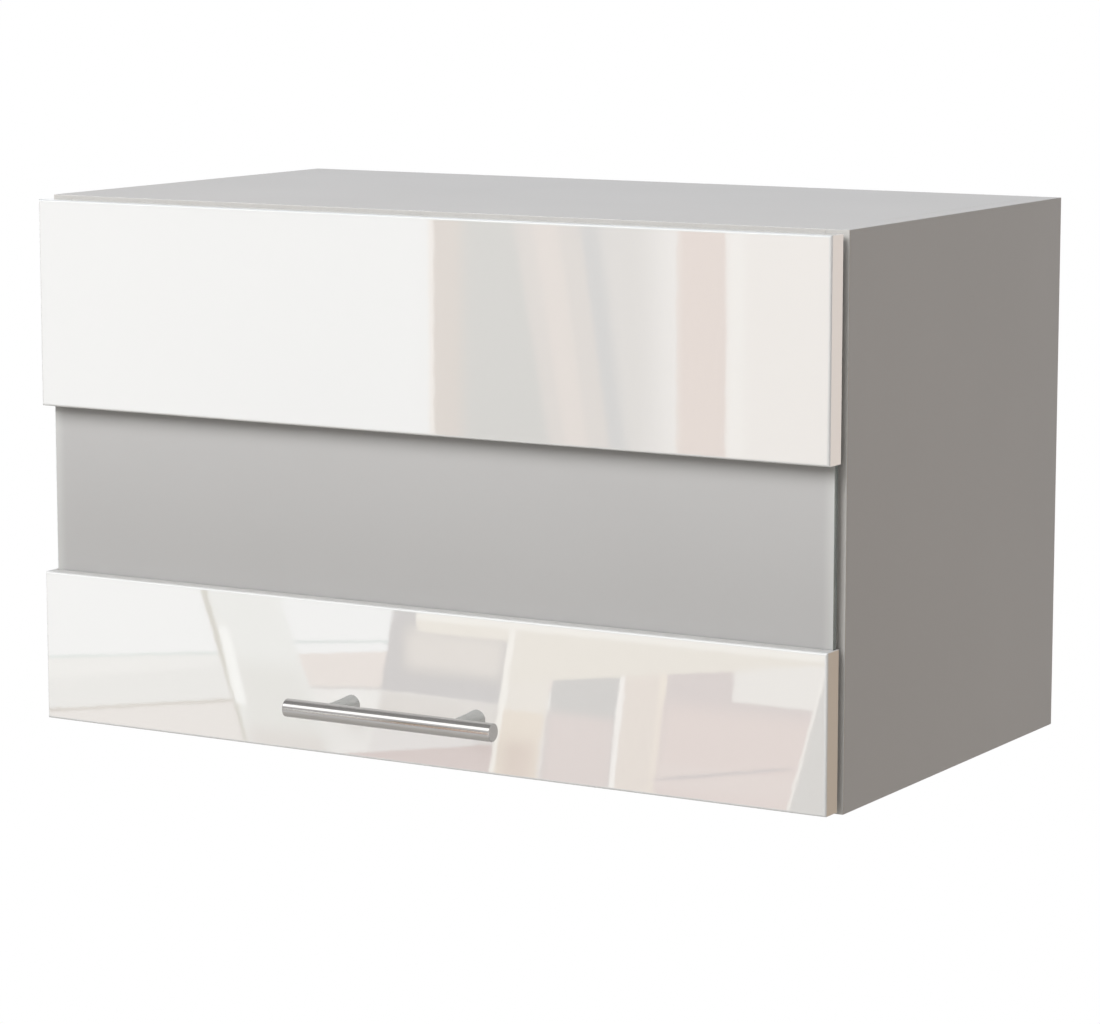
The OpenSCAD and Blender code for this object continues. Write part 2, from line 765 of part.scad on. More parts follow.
module right_hinge_cup_shape() {
    difference() {
        union() {
            difference() {
                rod_y(cup_r - hole_play, door_back_y - cup_depth + hole_play, door_back_y, hinge_x, cup_z);
                rod_y(cup_r - hole_play - cup_wall, cup_floor_y, door_back_y + cut, hinge_x, cup_z);
            }
            slab_y(door_back_y, door_back_y + cup_flange_t) difference() {
                translate([hinge_x, cup_z]) {
                    circle(cup_flange_r);
                    translate([-cup_screw_x, -cup_screw_drop - cup_ear_r])
                        square([2 * cup_screw_x, 2 * cup_ear_r]);
                    for (x = [-cup_screw_x, cup_screw_x]) translate([x, -cup_screw_drop]) circle(cup_ear_r);
                }
                translate([hinge_x, cup_z]) circle(cup_r - hole_play - cup_wall);
            }
            // the lugs run from the floor of the cup to just past the pin
            intersection() {
                rod_y(cup_r - hole_play, door_back_y - cup_depth + hole_play, door_back_y, hinge_x, cup_z);
                for (x = [-lug_x - lug_t, lug_x])
                    block(hinge_x + x, hinge_x + x + lug_t, door_back_y - cup_depth + hole_play,
                        axis_y + hinge_eye_r, axis_z - hinge_eye_r, axis_z + hinge_eye_r);
            }
        }
        rod_x(hinge_pin_d / 2 + pin_play, hinge_x - cup_r, hinge_x + cup_r, axis_y, axis_z);
        for (x = [-cup_screw_x, cup_screw_x]) rod_y(cup_screw_d / 2 + hole_play, door_back_y - cut,
            door_back_y + cup_flange_t + cut, hinge_x + x, cup_z - cup_screw_drop);
    }
}

module left_hinge_plate() {
    color(steel) left() right_hinge_plate_shape();
}

module right_hinge_plate() {
    color(steel) right_hinge_plate_shape();
}

module left_hinge_arm() {
    color(steel) left() right_hinge_arm_shape();
}

module right_hinge_arm() {
    color(steel) right_hinge_arm_shape();
}

module left_hinge_cup() {
    color(steel) left() right_hinge_cup_shape();
}

module right_hinge_cup() {
    color(steel) right_hinge_cup_shape();
}

module hinge_pins() {
    half_l = lug_x + lug_t;
    color(zinc) both() rod_x(hinge_pin_d / 2, hinge_x - half_l, hinge_x + half_l, axis_y, axis_z);
}

module hinge_plate_screws() {
    color(steel) both() for (x = [-plate_screw_x, plate_screw_x])
        translate([hinge_x + x, plate_line_y, deck_top_z - plate_wing_t - screw_head_t])
            screw(plate_screw_d, plate_wing_t + screw_in, plate_screw_head_d, screw_head_t);
}

module hinge_arm_screws() {
    color(steel) both() for (y = arm_screw_ys) translate([hinge_x, y, arm_low_z - screw_head_t])
        screw(arm_screw_d, deck_top_z - arm_low_z - arm_screw_end_gap, arm_screw_head_d, screw_head_t);
}

module hinge_cup_screws() {
    color(steel) both() for (x = [-cup_screw_x, cup_screw_x])
        translate([hinge_x + x, door_back_y + cup_flange_t + cup_screw_head_t, cup_z - cup_screw_drop])
            rotate([90, 0, 0])
                screw(cup_screw_d, cup_flange_t + cup_screw_in, cup_screw_head_d, cup_screw_head_t);
}

// ---- stays ----

module right_base() {
    difference() {
        union() {
            slab_x(base_face_x, inner_x) rounded_rect(stay_y - base_half_y, stay_y + base_half_y,
                stay_z - base_half_z, stay_z + base_half_z, base_corner_r);
            rod_x(boss_r, boss_face_x, inner_x, stay_y, stay_z);
        }
        rod_x(pivot_d / 2 + hole_play, boss_face_x - cut, inner_x + cut, stay_y, stay_z);
        for (p = base_screws) rod_x(base_screw_d / 2 + hole_play, base_face_x - cut, inner_x + cut,
            stay_y + p[0], stay_z + p[1]);
    }
}

module cover_outline(grow) {
    rounded_rect(stay_y - base_half_y - grow, stay_y + base_half_y + grow,
        stay_z - base_half_z - grow, stay_z + base_half_z + grow, base_corner_r + grow);
}

module right_cover() {
    difference() {
        slab_x(cover_face_x, inner_x) cover_outline(hole_play + cover_wall);
        slab_x(cover_face_x + cover_wall, inner_x + cut) cover_outline(hole_play);
        rod_x(boss_r + hole_play, cover_face_x - cut, inner_x, stay_y, stay_z);
    }
}

module right_lever() {
    color(steel) difference() {
        slab_x(lever_x0, lever_x1)
            arm_outline([stay_y, stay_z], lever_hub_r, [knee_y, knee_z], arm_end_r);
        rod_x(pivot_d / 2 + pin_play, lever_x0 - cut, lever_x1 + cut, stay_y, stay_z);
        rod_x(knee_pin_d / 2 + pin_play, lever_x0 - cut, lever_x1 + cut, knee_y, knee_z);
    }
}

// a rivet along X through the plates from x0 to x1, with a head at each end
module rivet(d, x0, x1, y, z) {
    rod_x(d / 2, x0 - rivet_gap, x1 + rivet_gap, y, z);
    for (x = [x0 - rivet_gap - rivet_head_t, x1 + rivet_gap])
        rod_x(d / 2 + rivet_lip, x, x + rivet_head_t, y, z);
}

module right_knee() {
    rivet(knee_pin_d, link_x0, lever_x1, knee_y, knee_z);
}

module right_link() {
    color(steel) difference() {
        slab_x(link_x0, link_x1)
            arm_outline([knee_y, knee_z], arm_end_r, [bracket_y, bracket_z], link_end_r);
        rod_x(knee_pin_d / 2 + pin_play, link_x0 - cut, link_x1 + cut, knee_y, knee_z);
        rod_x(bracket_pin_d / 2 + 2 * pin_play, link_x0 - cut, link_x1 + cut, bracket_y, bracket_z);
    }
}

module right_bracket() {
    difference() {
        union() {
            block(ear_x1 - bracket_base_w, ear_x1, door_back_y, door_back_y + base_t,
                bracket_z - bracket_base_h / 2, bracket_z + bracket_base_h / 2);
            slab_x(ear_x0, ear_x1) {
                translate([door_back_y, bracket_z - arm_end_r])
                    square([bracket_y - door_back_y, 2 * arm_end_r]);
                translate([bracket_y, bracket_z]) circle(arm_end_r);
            }
        }
        rod_x(bracket_pin_d / 2 + hole_play, ear_x0 - cut, ear_x1 + cut, bracket_y, bracket_z);
        for (p = bracket_screws) rod_y(base_screw_d / 2 + hole_play, door_back_y - cut,
            door_back_y + base_t + cut, ear_x1 - p[0], bracket_z + p[1]);
    }
}

module left_stay_base() {
    color(zinc) left() right_base();
}

module right_stay_base() {
    color(zinc) right_base();
}

module stay_covers() {
    color(plastic_grey) both() right_cover();
}

module stay_base_screws() {
    color(steel) both() for (p = base_screws)
        translate([base_face_x - screw_head_t, stay_y + p[0], stay_z + p[1]]) rotate([0, 90, 0])
            screw(base_screw_d, base_t + screw_in, wood_screw_head_d, screw_head_t);
}

module stay_pivots() {
    color(steel) both() difference() {
        union() {
            rod_x(pivot_d / 2, pivot_head_x1, inner_x - pivot_end_gap, stay_y, stay_z);
            rod_x(pivot_head_r, pivot_head_x1 - pivot_head_t, pivot_head_x1, stay_y, stay_z);
        }
        translate([pivot_head_x1 - pivot_head_t - cut, stay_y, stay_z]) rotate([0, 90, 0])
            cylinder(d = hex_key / cos(30), h = hex_depth + cut, $fn = 6);
    }
}

module friction_washers() {
    color(plastic_grey) both() for (x = [lever_x1 + washer_gap, lever_x0 - washer_gap - washer_t])
        difference() {
            rod_x(washer_r, x, x + washer_t, stay_y, stay_z);
            rod_x(pivot_d / 2 + hole_play, x - cut, x + washer_t + cut, stay_y, stay_z);
        }
}

module left_stay_lever() {
    left() right_lever();
}

module right_stay_lever() {
    right_lever();
}

module left_knee_pin() {
    color(zinc) left() right_knee();
}

module right_knee_pin() {
    color(zinc) right_knee();
}

module left_stay_link() {
    left() right_link();
}

module right_stay_link() {
    right_link();
}

module left_door_bracket() {
    color(steel) left() right_bracket();
}

module right_door_bracket() {
    color(steel) right_bracket();
}

module bracket_pins() {
    color(zinc) both() rivet(bracket_pin_d, ear_x0, link_x1, bracket_y, bracket_z);
}

module bracket_screws() {
    color(steel) both() for (p = bracket_screws)
        translate([ear_x1 - p[0], door_back_y + base_t + screw_head_t, bracket_z + p[1]])
            rotate([90, 0, 0]) screw(base_screw_d, base_t + screw_in, wood_screw_head_d, screw_head_t);
}

left_side();
right_side();
top_panel();
bottom_panel();
back_panel();
side_edge_bands();
deck_edge_bands();
dowels();
cam_locks();
cam_bolts();
cam_caps();
left_hanger_housing();
right_hanger_housing();
left_hanger_hook();
right_hanger_hook();
hanger_covers();
hanger_adjusters();
hanger_screws();
left_wall_plate();
right_wall_plate();
upper_front();
lower_front();
glass_strip();
glazing_seals();
glass_clips();
glass_clip_screws();
door_bumpers();
handle_bar();
handle_posts();
handle_screws();
left_hinge_plate();
right_hinge_plate();
left_hinge_arm();
right_hinge_arm();
left_hinge_cup();
right_hinge_cup();
hinge_pins();
hinge_plate_screws();
hinge_arm_screws();
hinge_cup_screws();
left_stay_base();
right_stay_base();
stay_covers();
stay_base_screws();
stay_pivots();
friction_washers();
left_stay_lever();
right_stay_lever();
left_knee_pin();
right_knee_pin();
left_stay_link();
right_stay_link();
left_door_bracket();
right_door_bracket();
bracket_pins();
bracket_screws();
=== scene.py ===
# %% [markdown]
# # A lift up wall cabinet
#
# This lesson finishes a kitchen wall cabinet that comes in as 56 separate pieces at their real size:
# carcass boards, a gloss door in two boards with a satin glass strip between them, a bar handle,
# two hinges, two stays and two hangers. What is left to do is how they look: the finish of every
# surface, the small broken edges that catch the light, and the studio that the gloss mirrors.
# The first step loads the pieces and measures them, because every later size is taken from them.

# %% Load the cabinet and measure it
import json
import math

import bmesh
import bpy
import numpy as np
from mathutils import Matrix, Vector

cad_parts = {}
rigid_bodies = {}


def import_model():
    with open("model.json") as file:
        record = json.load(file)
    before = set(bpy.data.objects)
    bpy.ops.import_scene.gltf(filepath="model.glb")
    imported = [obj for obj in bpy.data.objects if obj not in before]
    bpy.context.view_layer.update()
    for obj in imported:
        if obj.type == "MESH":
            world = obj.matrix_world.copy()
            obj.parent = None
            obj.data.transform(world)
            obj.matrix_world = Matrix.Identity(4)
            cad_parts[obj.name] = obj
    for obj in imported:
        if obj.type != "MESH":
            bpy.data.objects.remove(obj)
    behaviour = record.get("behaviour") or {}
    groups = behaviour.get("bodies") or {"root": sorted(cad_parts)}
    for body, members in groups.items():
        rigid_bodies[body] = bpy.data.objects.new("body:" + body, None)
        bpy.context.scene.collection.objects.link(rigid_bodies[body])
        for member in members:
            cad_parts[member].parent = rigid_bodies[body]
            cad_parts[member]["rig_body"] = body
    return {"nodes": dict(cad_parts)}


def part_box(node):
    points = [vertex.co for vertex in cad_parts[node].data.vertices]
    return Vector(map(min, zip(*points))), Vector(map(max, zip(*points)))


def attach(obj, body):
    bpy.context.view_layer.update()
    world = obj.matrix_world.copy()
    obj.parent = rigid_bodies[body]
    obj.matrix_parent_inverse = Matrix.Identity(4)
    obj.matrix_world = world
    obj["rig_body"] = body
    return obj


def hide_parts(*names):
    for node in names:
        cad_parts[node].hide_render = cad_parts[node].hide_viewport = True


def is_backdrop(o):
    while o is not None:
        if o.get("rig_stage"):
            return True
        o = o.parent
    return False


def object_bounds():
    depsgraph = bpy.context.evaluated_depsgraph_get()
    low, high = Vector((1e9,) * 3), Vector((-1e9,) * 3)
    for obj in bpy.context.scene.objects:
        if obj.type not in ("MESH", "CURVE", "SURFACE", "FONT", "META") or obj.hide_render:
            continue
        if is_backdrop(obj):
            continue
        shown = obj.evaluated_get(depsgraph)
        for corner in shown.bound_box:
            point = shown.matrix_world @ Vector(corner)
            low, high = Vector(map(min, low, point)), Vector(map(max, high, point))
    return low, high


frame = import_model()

MM = 0.001
scene = bpy.context.scene
cad_low, cad_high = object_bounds()
middle = (cad_low + cad_high) / 2
door_low, door_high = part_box("upper_front")
DOOR_FACE = door_low.y
DOOR_BACK = door_high.y
print("cabinet", [round(size / MM, 1) for size in cad_high - cad_low], "mm, door face at", DOOR_FACE)

# %% [markdown]
# ## The camera
# The photograph looks at the cabinet from its right and a little from above, and the long edges run
# nearly parallel, which is what a long lens does from a few metres away. The place and the lens
# were found by fitting the cabinet's corners to the photograph.

# %% Stand the camera
CAMERA_PLACE = Vector((1.34606, -2.44456, 0.54704))
CAMERA_TURN = 30.576                        # degrees to the right of straight in front
CAMERA_DIP = 8.634                          # degrees below level
LENS = 128.6                                # mm, on a sensor 36 mm wide

camera = bpy.data.objects.new("camera", bpy.data.cameras.new("camera"))
camera.data.lens = LENS
camera.data.sensor_width = 36
camera.data.sensor_fit = "HORIZONTAL"
camera.data.clip_end = 60
camera.location = CAMERA_PLACE
camera.rotation_euler = (math.radians(90 - CAMERA_DIP), 0, math.radians(CAMERA_TURN))
scene.collection.objects.link(camera)
scene.camera = camera
scene.view_settings.view_transform = "Standard"
print("camera", round((CAMERA_PLACE - middle).length, 2), "m from the cabinet")

# %% [markdown]
# ## Three small tools for the finishes
# A finish is a tree of nodes around one main shader. Colours are written as the hex values that a
# paint card gives and turned to linear light by one function. One function adds a node with its
# settings and its links. Patterns are given their real size in millimetres.

# %% Colour, node and pattern size
def tone(hex_code):
    """An sRGB hex colour as linear light: each channel over 255, bent by the sRGB curve."""
    channels = [int(hex_code[i:i + 2], 16) / 255 for i in (1, 3, 5)]
    return [c / 12.92 if c <= 0.04045 else ((c + 0.055) / 1.055) ** 2.4 for c in channels] + [1.0]


def connect(tree, node, sockets):
    """Sets a node's inputs: each is a plain value, or the output of another node to link."""
    for name, value in sockets.items():
        if isinstance(value, bpy.types.NodeSocket):
            tree.links.new(value, node.inputs[name])
        else:
            node.inputs[name].default_value = value


def add(tree, kind, sockets=None, **settings):
    """Adds one shader node with its settings, and sets or links its inputs."""
    node = tree.nodes.new("ShaderNode" + kind)
    for name, value in settings.items():
        setattr(node, name, value)
    connect(tree, node, sockets or {})
    return node


def per_mm(size):
    """The scale of a pattern whose features are size millimetres across."""
    return 1000 / size


# %% [markdown]
# ## White surroundings
# The cabinet stands in front of pure white. For the light that falls on it, the surroundings are
# only about a third as bright, as a room is. The camera, mirror reflections and glass see them
# white.

# %% Make the world
AMBIENT = 0.37                              # light of the surroundings on a matt surface

world = bpy.data.worlds.new("white_surroundings")
world.use_nodes = True
scene.world = world
tree = world.node_tree
tree.nodes.clear()
path = add(tree, "LightPath").outputs
seen = add(tree, "Math", {0: path["Is Camera Ray"], 1: path["Is Glossy Ray"]}, operation="ADD")
seen = add(tree, "Math", {0: seen.outputs[0], 1: path["Is Transmission Ray"]},
           operation="ADD", use_clamp=True)
level = add(tree, "Mix", {0: seen.outputs[0], 2: AMBIENT, 3: 1.0})
glow = add(tree, "Background", {"Color": tone("#ffffff"), "Strength": level.outputs[0]})
add(tree, "OutputWorld", {"Surface": glow.outputs[0]})
print("surroundings at", AMBIENT, "for matt light and white where they are seen")

# %% [markdown]
# ## Two soft lamps
# In the photograph the front and the top are lit and the right side is not, so the main softbox is to
# the front left, above the cabinet. A second, weak and bluish one hangs over it, which keeps the top
# a neutral grey though its paper is a warm grey. A softbox is given here by the light that it
# should leave on white paper facing it; an area lamp then needs that times pi squared times its
# distance squared, in watts. Mirror reflections don't see the lamps: what the gloss and the steel
# show is hung up for them further on.

# %% Hang the softboxes
def softbox(name, direction, distance, size, paper_light, colour):
    """An area lamp that looks at the cabinet's middle from that direction and distance."""
    lamp = bpy.data.objects.new(name, bpy.data.lights.new(name, "AREA"))
    toward = Vector(direction).normalized()
    lamp.data.shape = "SQUARE"
    lamp.data.size = size
    lamp.data.color = colour
    lamp.data.energy = paper_light * math.pi ** 2 * distance ** 2
    lamp.location = middle + toward * distance
    lamp.rotation_euler = toward.to_track_quat("Z", "Y").to_euler()
    lamp.visible_camera = False
    lamp.visible_glossy = False
    scene.collection.objects.link(lamp)
    print(name, round(lamp.data.energy, 1), "W")


softbox("front_softbox", (-0.20, -0.78, 0.59), 5.0, 3.0, 0.80, (1.0, 1.0, 1.0))
softbox("overhead_softbox", (0.0, 0.25, 0.97), 2.6, 2.2, 0.20, (0.25, 0.60, 1.0))

# %% [markdown]
# ## The floor
# A wall cabinet hangs about 1.4 m above the floor, so the floor lies that far below it. It is matt
# and pale. Near the cabinet it takes the shadow; further out it turns to plain white, like the
# paper sweep of a photo studio. It lights the cabinet from below as a darker floor would, because
# the underside would otherwise turn too bright. Seen from below it is clear, so that it never hides
# the cabinet.

# %% Lay the floor
FLOOR_DROP = 1.4
FLOOR_HALF = 12.0
NEAR, FAR = 1.2, 3.0                        # metres from the cabinet where the white starts and is full


def plain_sheet(name, corners):
    """A flat four-cornered sheet, its place in its mesh, as part of the studio."""
    mesh = bpy.data.meshes.new(name)
    mesh.from_pydata([tuple(corner) for corner in corners], [], [(0, 1, 2, 3)])
    sheet = bpy.data.objects.new(name, mesh)
    scene.collection.objects.link(sheet)
    sheet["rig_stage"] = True
    return sheet


floor = plain_sheet("floor", [(x * FLOOR_HALF, y * FLOOR_HALF, -FLOOR_DROP)
                              for x, y in ((-1, -1), (1, -1), (1, 1), (-1, 1))])
floor_paint = bpy.data.materials.new("pale_studio_floor")
floor_paint.use_nodes = True
tree = floor_paint.node_tree
tree.nodes.clear()
place = add(tree, "TexCoord").outputs["Object"]
apart = add(tree, "VectorMath", {0: place, 1: (0, 0, -FLOOR_DROP)}, operation="DISTANCE")
whiter = add(tree, "MapRange", {0: apart.outputs["Value"], 1: NEAR, 2: FAR},
             interpolation_type="SMOOTHSTEP")
path = add(tree, "LightPath").outputs
seen = add(tree, "Math", {0: path["Is Camera Ray"], 1: path["Is Glossy Ray"]},
           operation="ADD", use_clamp=True)
shade = add(tree, "Mix", {0: seen.outputs[0], 6: tone("#b4afa8"), 7: tone("#f7f1ea")}, data_type="RGBA")
matt = add(tree, "BsdfDiffuse", {"Color": shade.outputs[2]})
seen = add(tree, "Math", {0: seen.outputs[0], 1: whiter.outputs[0]}, operation="MULTIPLY")
white = add(tree, "Emission", {"Color": tone("#ffffff"), "Strength": 1.0})
top = add(tree, "MixShader", {0: seen.outputs[0], 1: matt.outputs[0], 2: white.outputs[0]})
clear = add(tree, "BsdfTransparent")
below = add(tree, "NewGeometry").outputs["Backfacing"]
under = add(tree, "MixShader", {0: below, 1: top.outputs[0], 2: clear.outputs[0]})
add(tree, "OutputMaterial", {"Surface": under.outputs[0]})
floor.data.materials.append(floor_paint)
print("floor", FLOOR_DROP, "m below the cabinet")

# %% [markdown]
# ## What the gloss mirrors
# A high gloss front is half a mirror, and its look comes from what stands opposite it. Two painted
# reflector sheets hang out in front: soft bands for the upper board, and a few leaning panels for
# the lower one. Only mirror reflections see them. Each is drawn in the door's own millimetres:
# the camera's mirror image behind the door looks through a point of the door at one point of the
# sheet, so a band painted there shows in the gloss at that point of the door.
#
# A sheet is a list of patches, each laid over the ones before it. A tone is the one that the gloss
# is to show. The lacquer's own colour gives most of it, and the sheet's light gives the rest,
# divided by the share that the gloss mirrors.

# %% How a patch covers the board
START = (-340, -340)                        # an edge past the left end of the door
END = (340, 340)                            # an edge past the right end of the door


def ramp(distance, soft):
    """0 before an edge and 1 past it, blended smoothly over soft millimetres."""
    t = np.clip(distance / soft + 0.5, 0, 1)
    return t * t * (3 - 2 * t)


def cover(x, z, span, left=START, right=END, soft=1.0, low=-1000, high=1000):
    """How much of each point a patch covers: its left and right edges are straight lines, given by
    their x at the top and the bottom of the board, and low and high bound it in z."""
    t = (z - span[0]) / (span[1] - span[0])
    from_left = x - (left[1] + (left[0] - left[1]) * t)
    to_right = right[1] + (right[0] - right[1]) * t - x
    return ramp(from_left, soft) * ramp(to_right, soft) * ramp(z - low, soft) * ramp(high - z, soft)


# %% [markdown]
# A sheet is a grid of points, one for each millimetre of the board. Each point carries the light
# that it gives off as a colour of its own, and one glowing paint shows it.

# %% Paint a reflector sheet
SHEET_PLANE = -2.5                          # metres, where the sheets hang in Y
SHEET_LEFT, SHEET_RIGHT = -312, 318         # mm on the door, a little past its ends
SHEET_SPARE = 8                             # mm on the door, past the upper and the lower edge
GRID_STEP = 1.0                             # mm on the door between two points of a sheet
LACQUER_LIGHT = 0.625                       # what the lacquer shows by itself, as linear light
MIRRORED_SHARE = 0.137                      # of the light that comes from a sheet

sheet_paint = bpy.data.materials.new("painted_reflector")
sheet_paint.use_nodes = True
tree = sheet_paint.node_tree
tree.nodes.clear()
painted = add(tree, "Attribute", attribute_name="light")
glow = add(tree, "Emission", {"Color": painted.outputs["Color"], "Strength": 1.0})
add(tree, "OutputMaterial", {"Surface": glow.outputs[0]})
print("sheets hang", round(DOOR_FACE - SHEET_PLANE, 2), "m in front of the door")


def hide_from_all_but_mirrors(sheet):
    """Leaves a sheet to be seen in mirror reflections alone."""
    sheet.visible_camera = False
    sheet.visible_diffuse = False
    sheet.visible_shadow = False
    sheet.visible_transmission = False


def reflector(name, board, ground, patches):
    """A sheet for one board of the door. A door point p is mirrored at m + (p - m) * reach, where m
    is the camera's mirror image behind the door's face."""
    span = [round(corner.z / MM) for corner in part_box(board)]
    x, z = np.meshgrid(np.arange(SHEET_LEFT, SHEET_RIGHT, GRID_STEP),
                       np.arange(span[0] - SHEET_SPARE, span[1] + SHEET_SPARE, GRID_STEP))
    shown = np.empty((*x.shape, 4))
    shown[:] = tone(ground)
    for patch in patches:
        share = cover(x, z, span, **{key: patch[key] for key in patch if key != "shade"})[..., None]
        shown = shown * (1 - share) + np.array(tone(patch["shade"])) * share
    light = np.clip((shown - LACQUER_LIGHT) / MIRRORED_SHARE, 0, None)
    mirrored = np.array((CAMERA_PLACE.x, 2 * DOOR_FACE - CAMERA_PLACE.y, CAMERA_PLACE.z))
    door = np.stack([x * MM, np.full_like(x, DOOR_FACE), z * MM], axis=-1)
    reach = (SHEET_PLANE - mirrored[1]) / (DOOR_FACE - mirrored[1])
    points = (mirrored + (door - mirrored) * reach).reshape(-1, 3)
    rows, columns = x.shape
    corner = np.arange(rows * columns).reshape(rows, columns)
    squares = np.stack([corner[:-1, :-1], corner[:-1, 1:], corner[1:, 1:], corner[1:, :-1]], axis=-1)
    mesh = bpy.data.meshes.new(name)
    mesh.from_pydata(points, [], squares.reshape(-1, 4).tolist())
    paint = mesh.color_attributes.new("light", "FLOAT_COLOR", "POINT")
    paint.data.foreach_set("color", light.reshape(-1))
    sheet = bpy.data.objects.new(name, mesh)
    scene.collection.objects.link(sheet)
    sheet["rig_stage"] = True
    hide_from_all_but_mirrors(sheet)
    sheet.data.materials.append(sheet_paint)
    print(name, rows, "x", columns, "points, light up to", round(float(light.max()), 2))


# %% [markdown]
# The upper board shows one wide white panel on its left and, past a sharp edge, soft warm and grey
# bands that lean a little, then a rosy band and a cream panel on its right.

# %% The bands in the upper board
reflector("upper_reflector", "upper_front", "#f1f1f1", [
    dict(shade="#f0ebe7", left=(13, 13)),
    dict(shade="#dbd4cf", left=(17, 17), soft=2.5),
    dict(shade="#d3d2d0", left=(38, 38), soft=14),
    dict(shade="#ddd8d5", left=(76, 102), soft=8),
    dict(shade="#e3dcd8", left=(90, 114), right=(108, 130), soft=6),
    dict(shade="#d4d3d3", left=(124, 146), soft=4),
    dict(shade="#dfdcda", left=(138, 158), soft=12),
    dict(shade="#edeae8", left=(176, 180), soft=36),
    dict(shade="#e8dfda", left=(193, 193)),
    dict(shade="#e5dad5", left=(196, 196), right=(227, 227), soft=2.0),
    dict(shade="#efebe8", left=(227, 227)),
    dict(shade="#f2efec", left=(229, 229), right=(240, 240), soft=6),
])

# %% [markdown]
# The lower board shows white panels above pale strips on its left, cut by a leaning panel, and on
# its right a cream frame with leaning bars in front of rosy grey. A patch whose edge has its two x
# hundreds of millimetres apart has a nearly level edge, which climbs slowly to the right.

# %% The panels in the lower board
reflector("lower_reflector", "lower_front", "#f4f4f4", [
    # pale strips in the middle, then their like further left, in front of the leaning panel
    dict(shade="#e1e5e4", left=(195, -846), right=(215, -826), soft=6),
    dict(shade="#ebe4e0", left=(228, -651), soft=8),
    dict(shade="#dedad8", left=(574, -585), soft=8),
    dict(shade="#efedeb", left=(598, -561), soft=16),
    dict(shade="#f4f4f4", right=(-163, -130), soft=2),
    dict(shade="#e4e8e6", left=(204, -675), right=(-163, -130), soft=5),
    dict(shade="#f0efed", left=(222, -657), right=(-163, -130), soft=12),
    dict(shade="#ecebe9", left=(159, -462), right=(-163, -130), soft=30),
    dict(shade="#dbd6d1", left=(341, -339), right=(-163, -130), soft=10),
    dict(shade="#ebe7e4", left=(357, -323), right=(-163, -130), soft=14),
    # the leaning panel, with its dark edge and a highlight
    dict(shade="#d9d6cf", left=(-168, -134), right=(-161, -128), soft=2),
    dict(shade="#eeeeec", left=(-163, -130), right=(-104, -64), soft=1.5),
    dict(shade="#e8e7e4", left=(-160, -127), right=(-107, -67), high=58, soft=20),
    dict(shade="#e3dfdc", left=(-160, -127), right=(-107, -67), high=14, soft=14),
    dict(shade="#f9f9f7", left=(-160, -134), right=(-152, -124), low=28, high=80, soft=4),
    # a grey panel with a paler middle, above a pale and a rosy strip
    dict(shade="#e1ddda", left=(-15, -34), high=49, soft=6),
    dict(shade="#e9e6e5", left=(-15, -34), high=30, soft=8),
    dict(shade="#d2cfce", left=(-15, -34), right=(74, 57), low=49, soft=2),
    dict(shade="#e4dfdb", left=(-4, -8), right=(70, 60), low=66, high=92, soft=14),
    dict(shade="#dcd1cf", left=(557, -61), right=(74, 57), high=22, soft=2),
    # the cream frame, and a tan panel in it
    dict(shade="#ede8e1", left=(3, -1), right=(74, 74), low=91),
    dict(shade="#f7f4ef", left=(74, 57), right=(79, 62)),
    dict(shade="#ede8e2", left=(79, 62), right=(108, 93), soft=1.5),
    dict(shade="#ebe2d8", left=(79, 60), right=(108, 91), high=46, soft=1.5),
    dict(shade="#e3d7cf", left=(82, 66), right=(106, 88), high=26, soft=14),
    # grey that turns rosy below, behind three leaning bars
    dict(shade="#d4d2d1", left=(110, 95), right=(157, 145), soft=1.5),
    dict(shade="#e1d8d6", left=(110, 95), right=(157, 145), high=48, soft=8),
    dict(shade="#f7f4f1", left=(157, 145), right=(161, 149)),
    dict(shade="#e9e1db", left=(161, 149), right=(191, 178), soft=1.5),
    dict(shade="#f0e8df", left=(186, 173), right=(191, 178), soft=3),
    dict(shade="#dcd4d3", left=(191, 178), soft=1.5),
    dict(shade="#e5dad7", left=(191, 178), high=62, soft=16),
    dict(shade="#e6dcd9", left=(191, 178), low=8, high=24, soft=4),
    dict(shade="#d6cfcf", left=(660, 120), right=(672, 132), low=12, high=30, soft=5),
    # the right end, and the frame's upper side over all
    dict(shade="#eeebe8", left=(235, 231), low=68, soft=1.5),
    dict(shade="#f4f1ed", left=(299, 271), right=(302, 273)),
    dict(shade="#dbd9d7", left=(301, 273)),
    dict(shade="#ece7e0", left=(79, 62), right=(345, -344), soft=6),
    dict(shade="#f4f1ec", left=(3, -1), low=99),
])

# %% [markdown]
# The two ends of the door turn away from these sheets and mirror what is behind the cabinet's right
# side: a warm bright sheet beside the upper board, and a tan one beside the lower board. Between
# face and end, the rounded corner sweeps over everything on the right, so two white sheets stand in
# a corner there. The steel bar mirrors everything above and in front of it: two large grey sheets
# keep it from going flat white, and a long bright strip draws the one line along it.

# %% Sheets of one tone
def plain_reflector(name, corners, colour, light):
    """A sheet of one tone that only mirror reflections see."""
    sheet = plain_sheet(name, corners)
    hide_from_all_but_mirrors(sheet)
    paint = bpy.data.materials.new(name + "_paint")
    paint.use_nodes = True
    paint.node_tree.nodes.clear()
    shine = add(paint.node_tree, "Emission", {"Color": tone(colour), "Strength": light})
    add(paint.node_tree, "OutputMaterial", {"Surface": shine.outputs[0]})
    sheet.data.materials.append(paint)
    print(name, colour, "at", light)


def upright(x0, x1, y, z0, z1):
    """The corners of an upright sheet that faces the front or the back."""
    return [(x0, y, z0), (x1, y, z0), (x1, y, z1), (x0, y, z1)]


def upright_side(x, y0, y1, z0, z1):
    """The corners of an upright sheet that faces left or right."""
    return [(x, y0, z0), (x, y1, z0), (x, y1, z1), (x, y0, z1)]


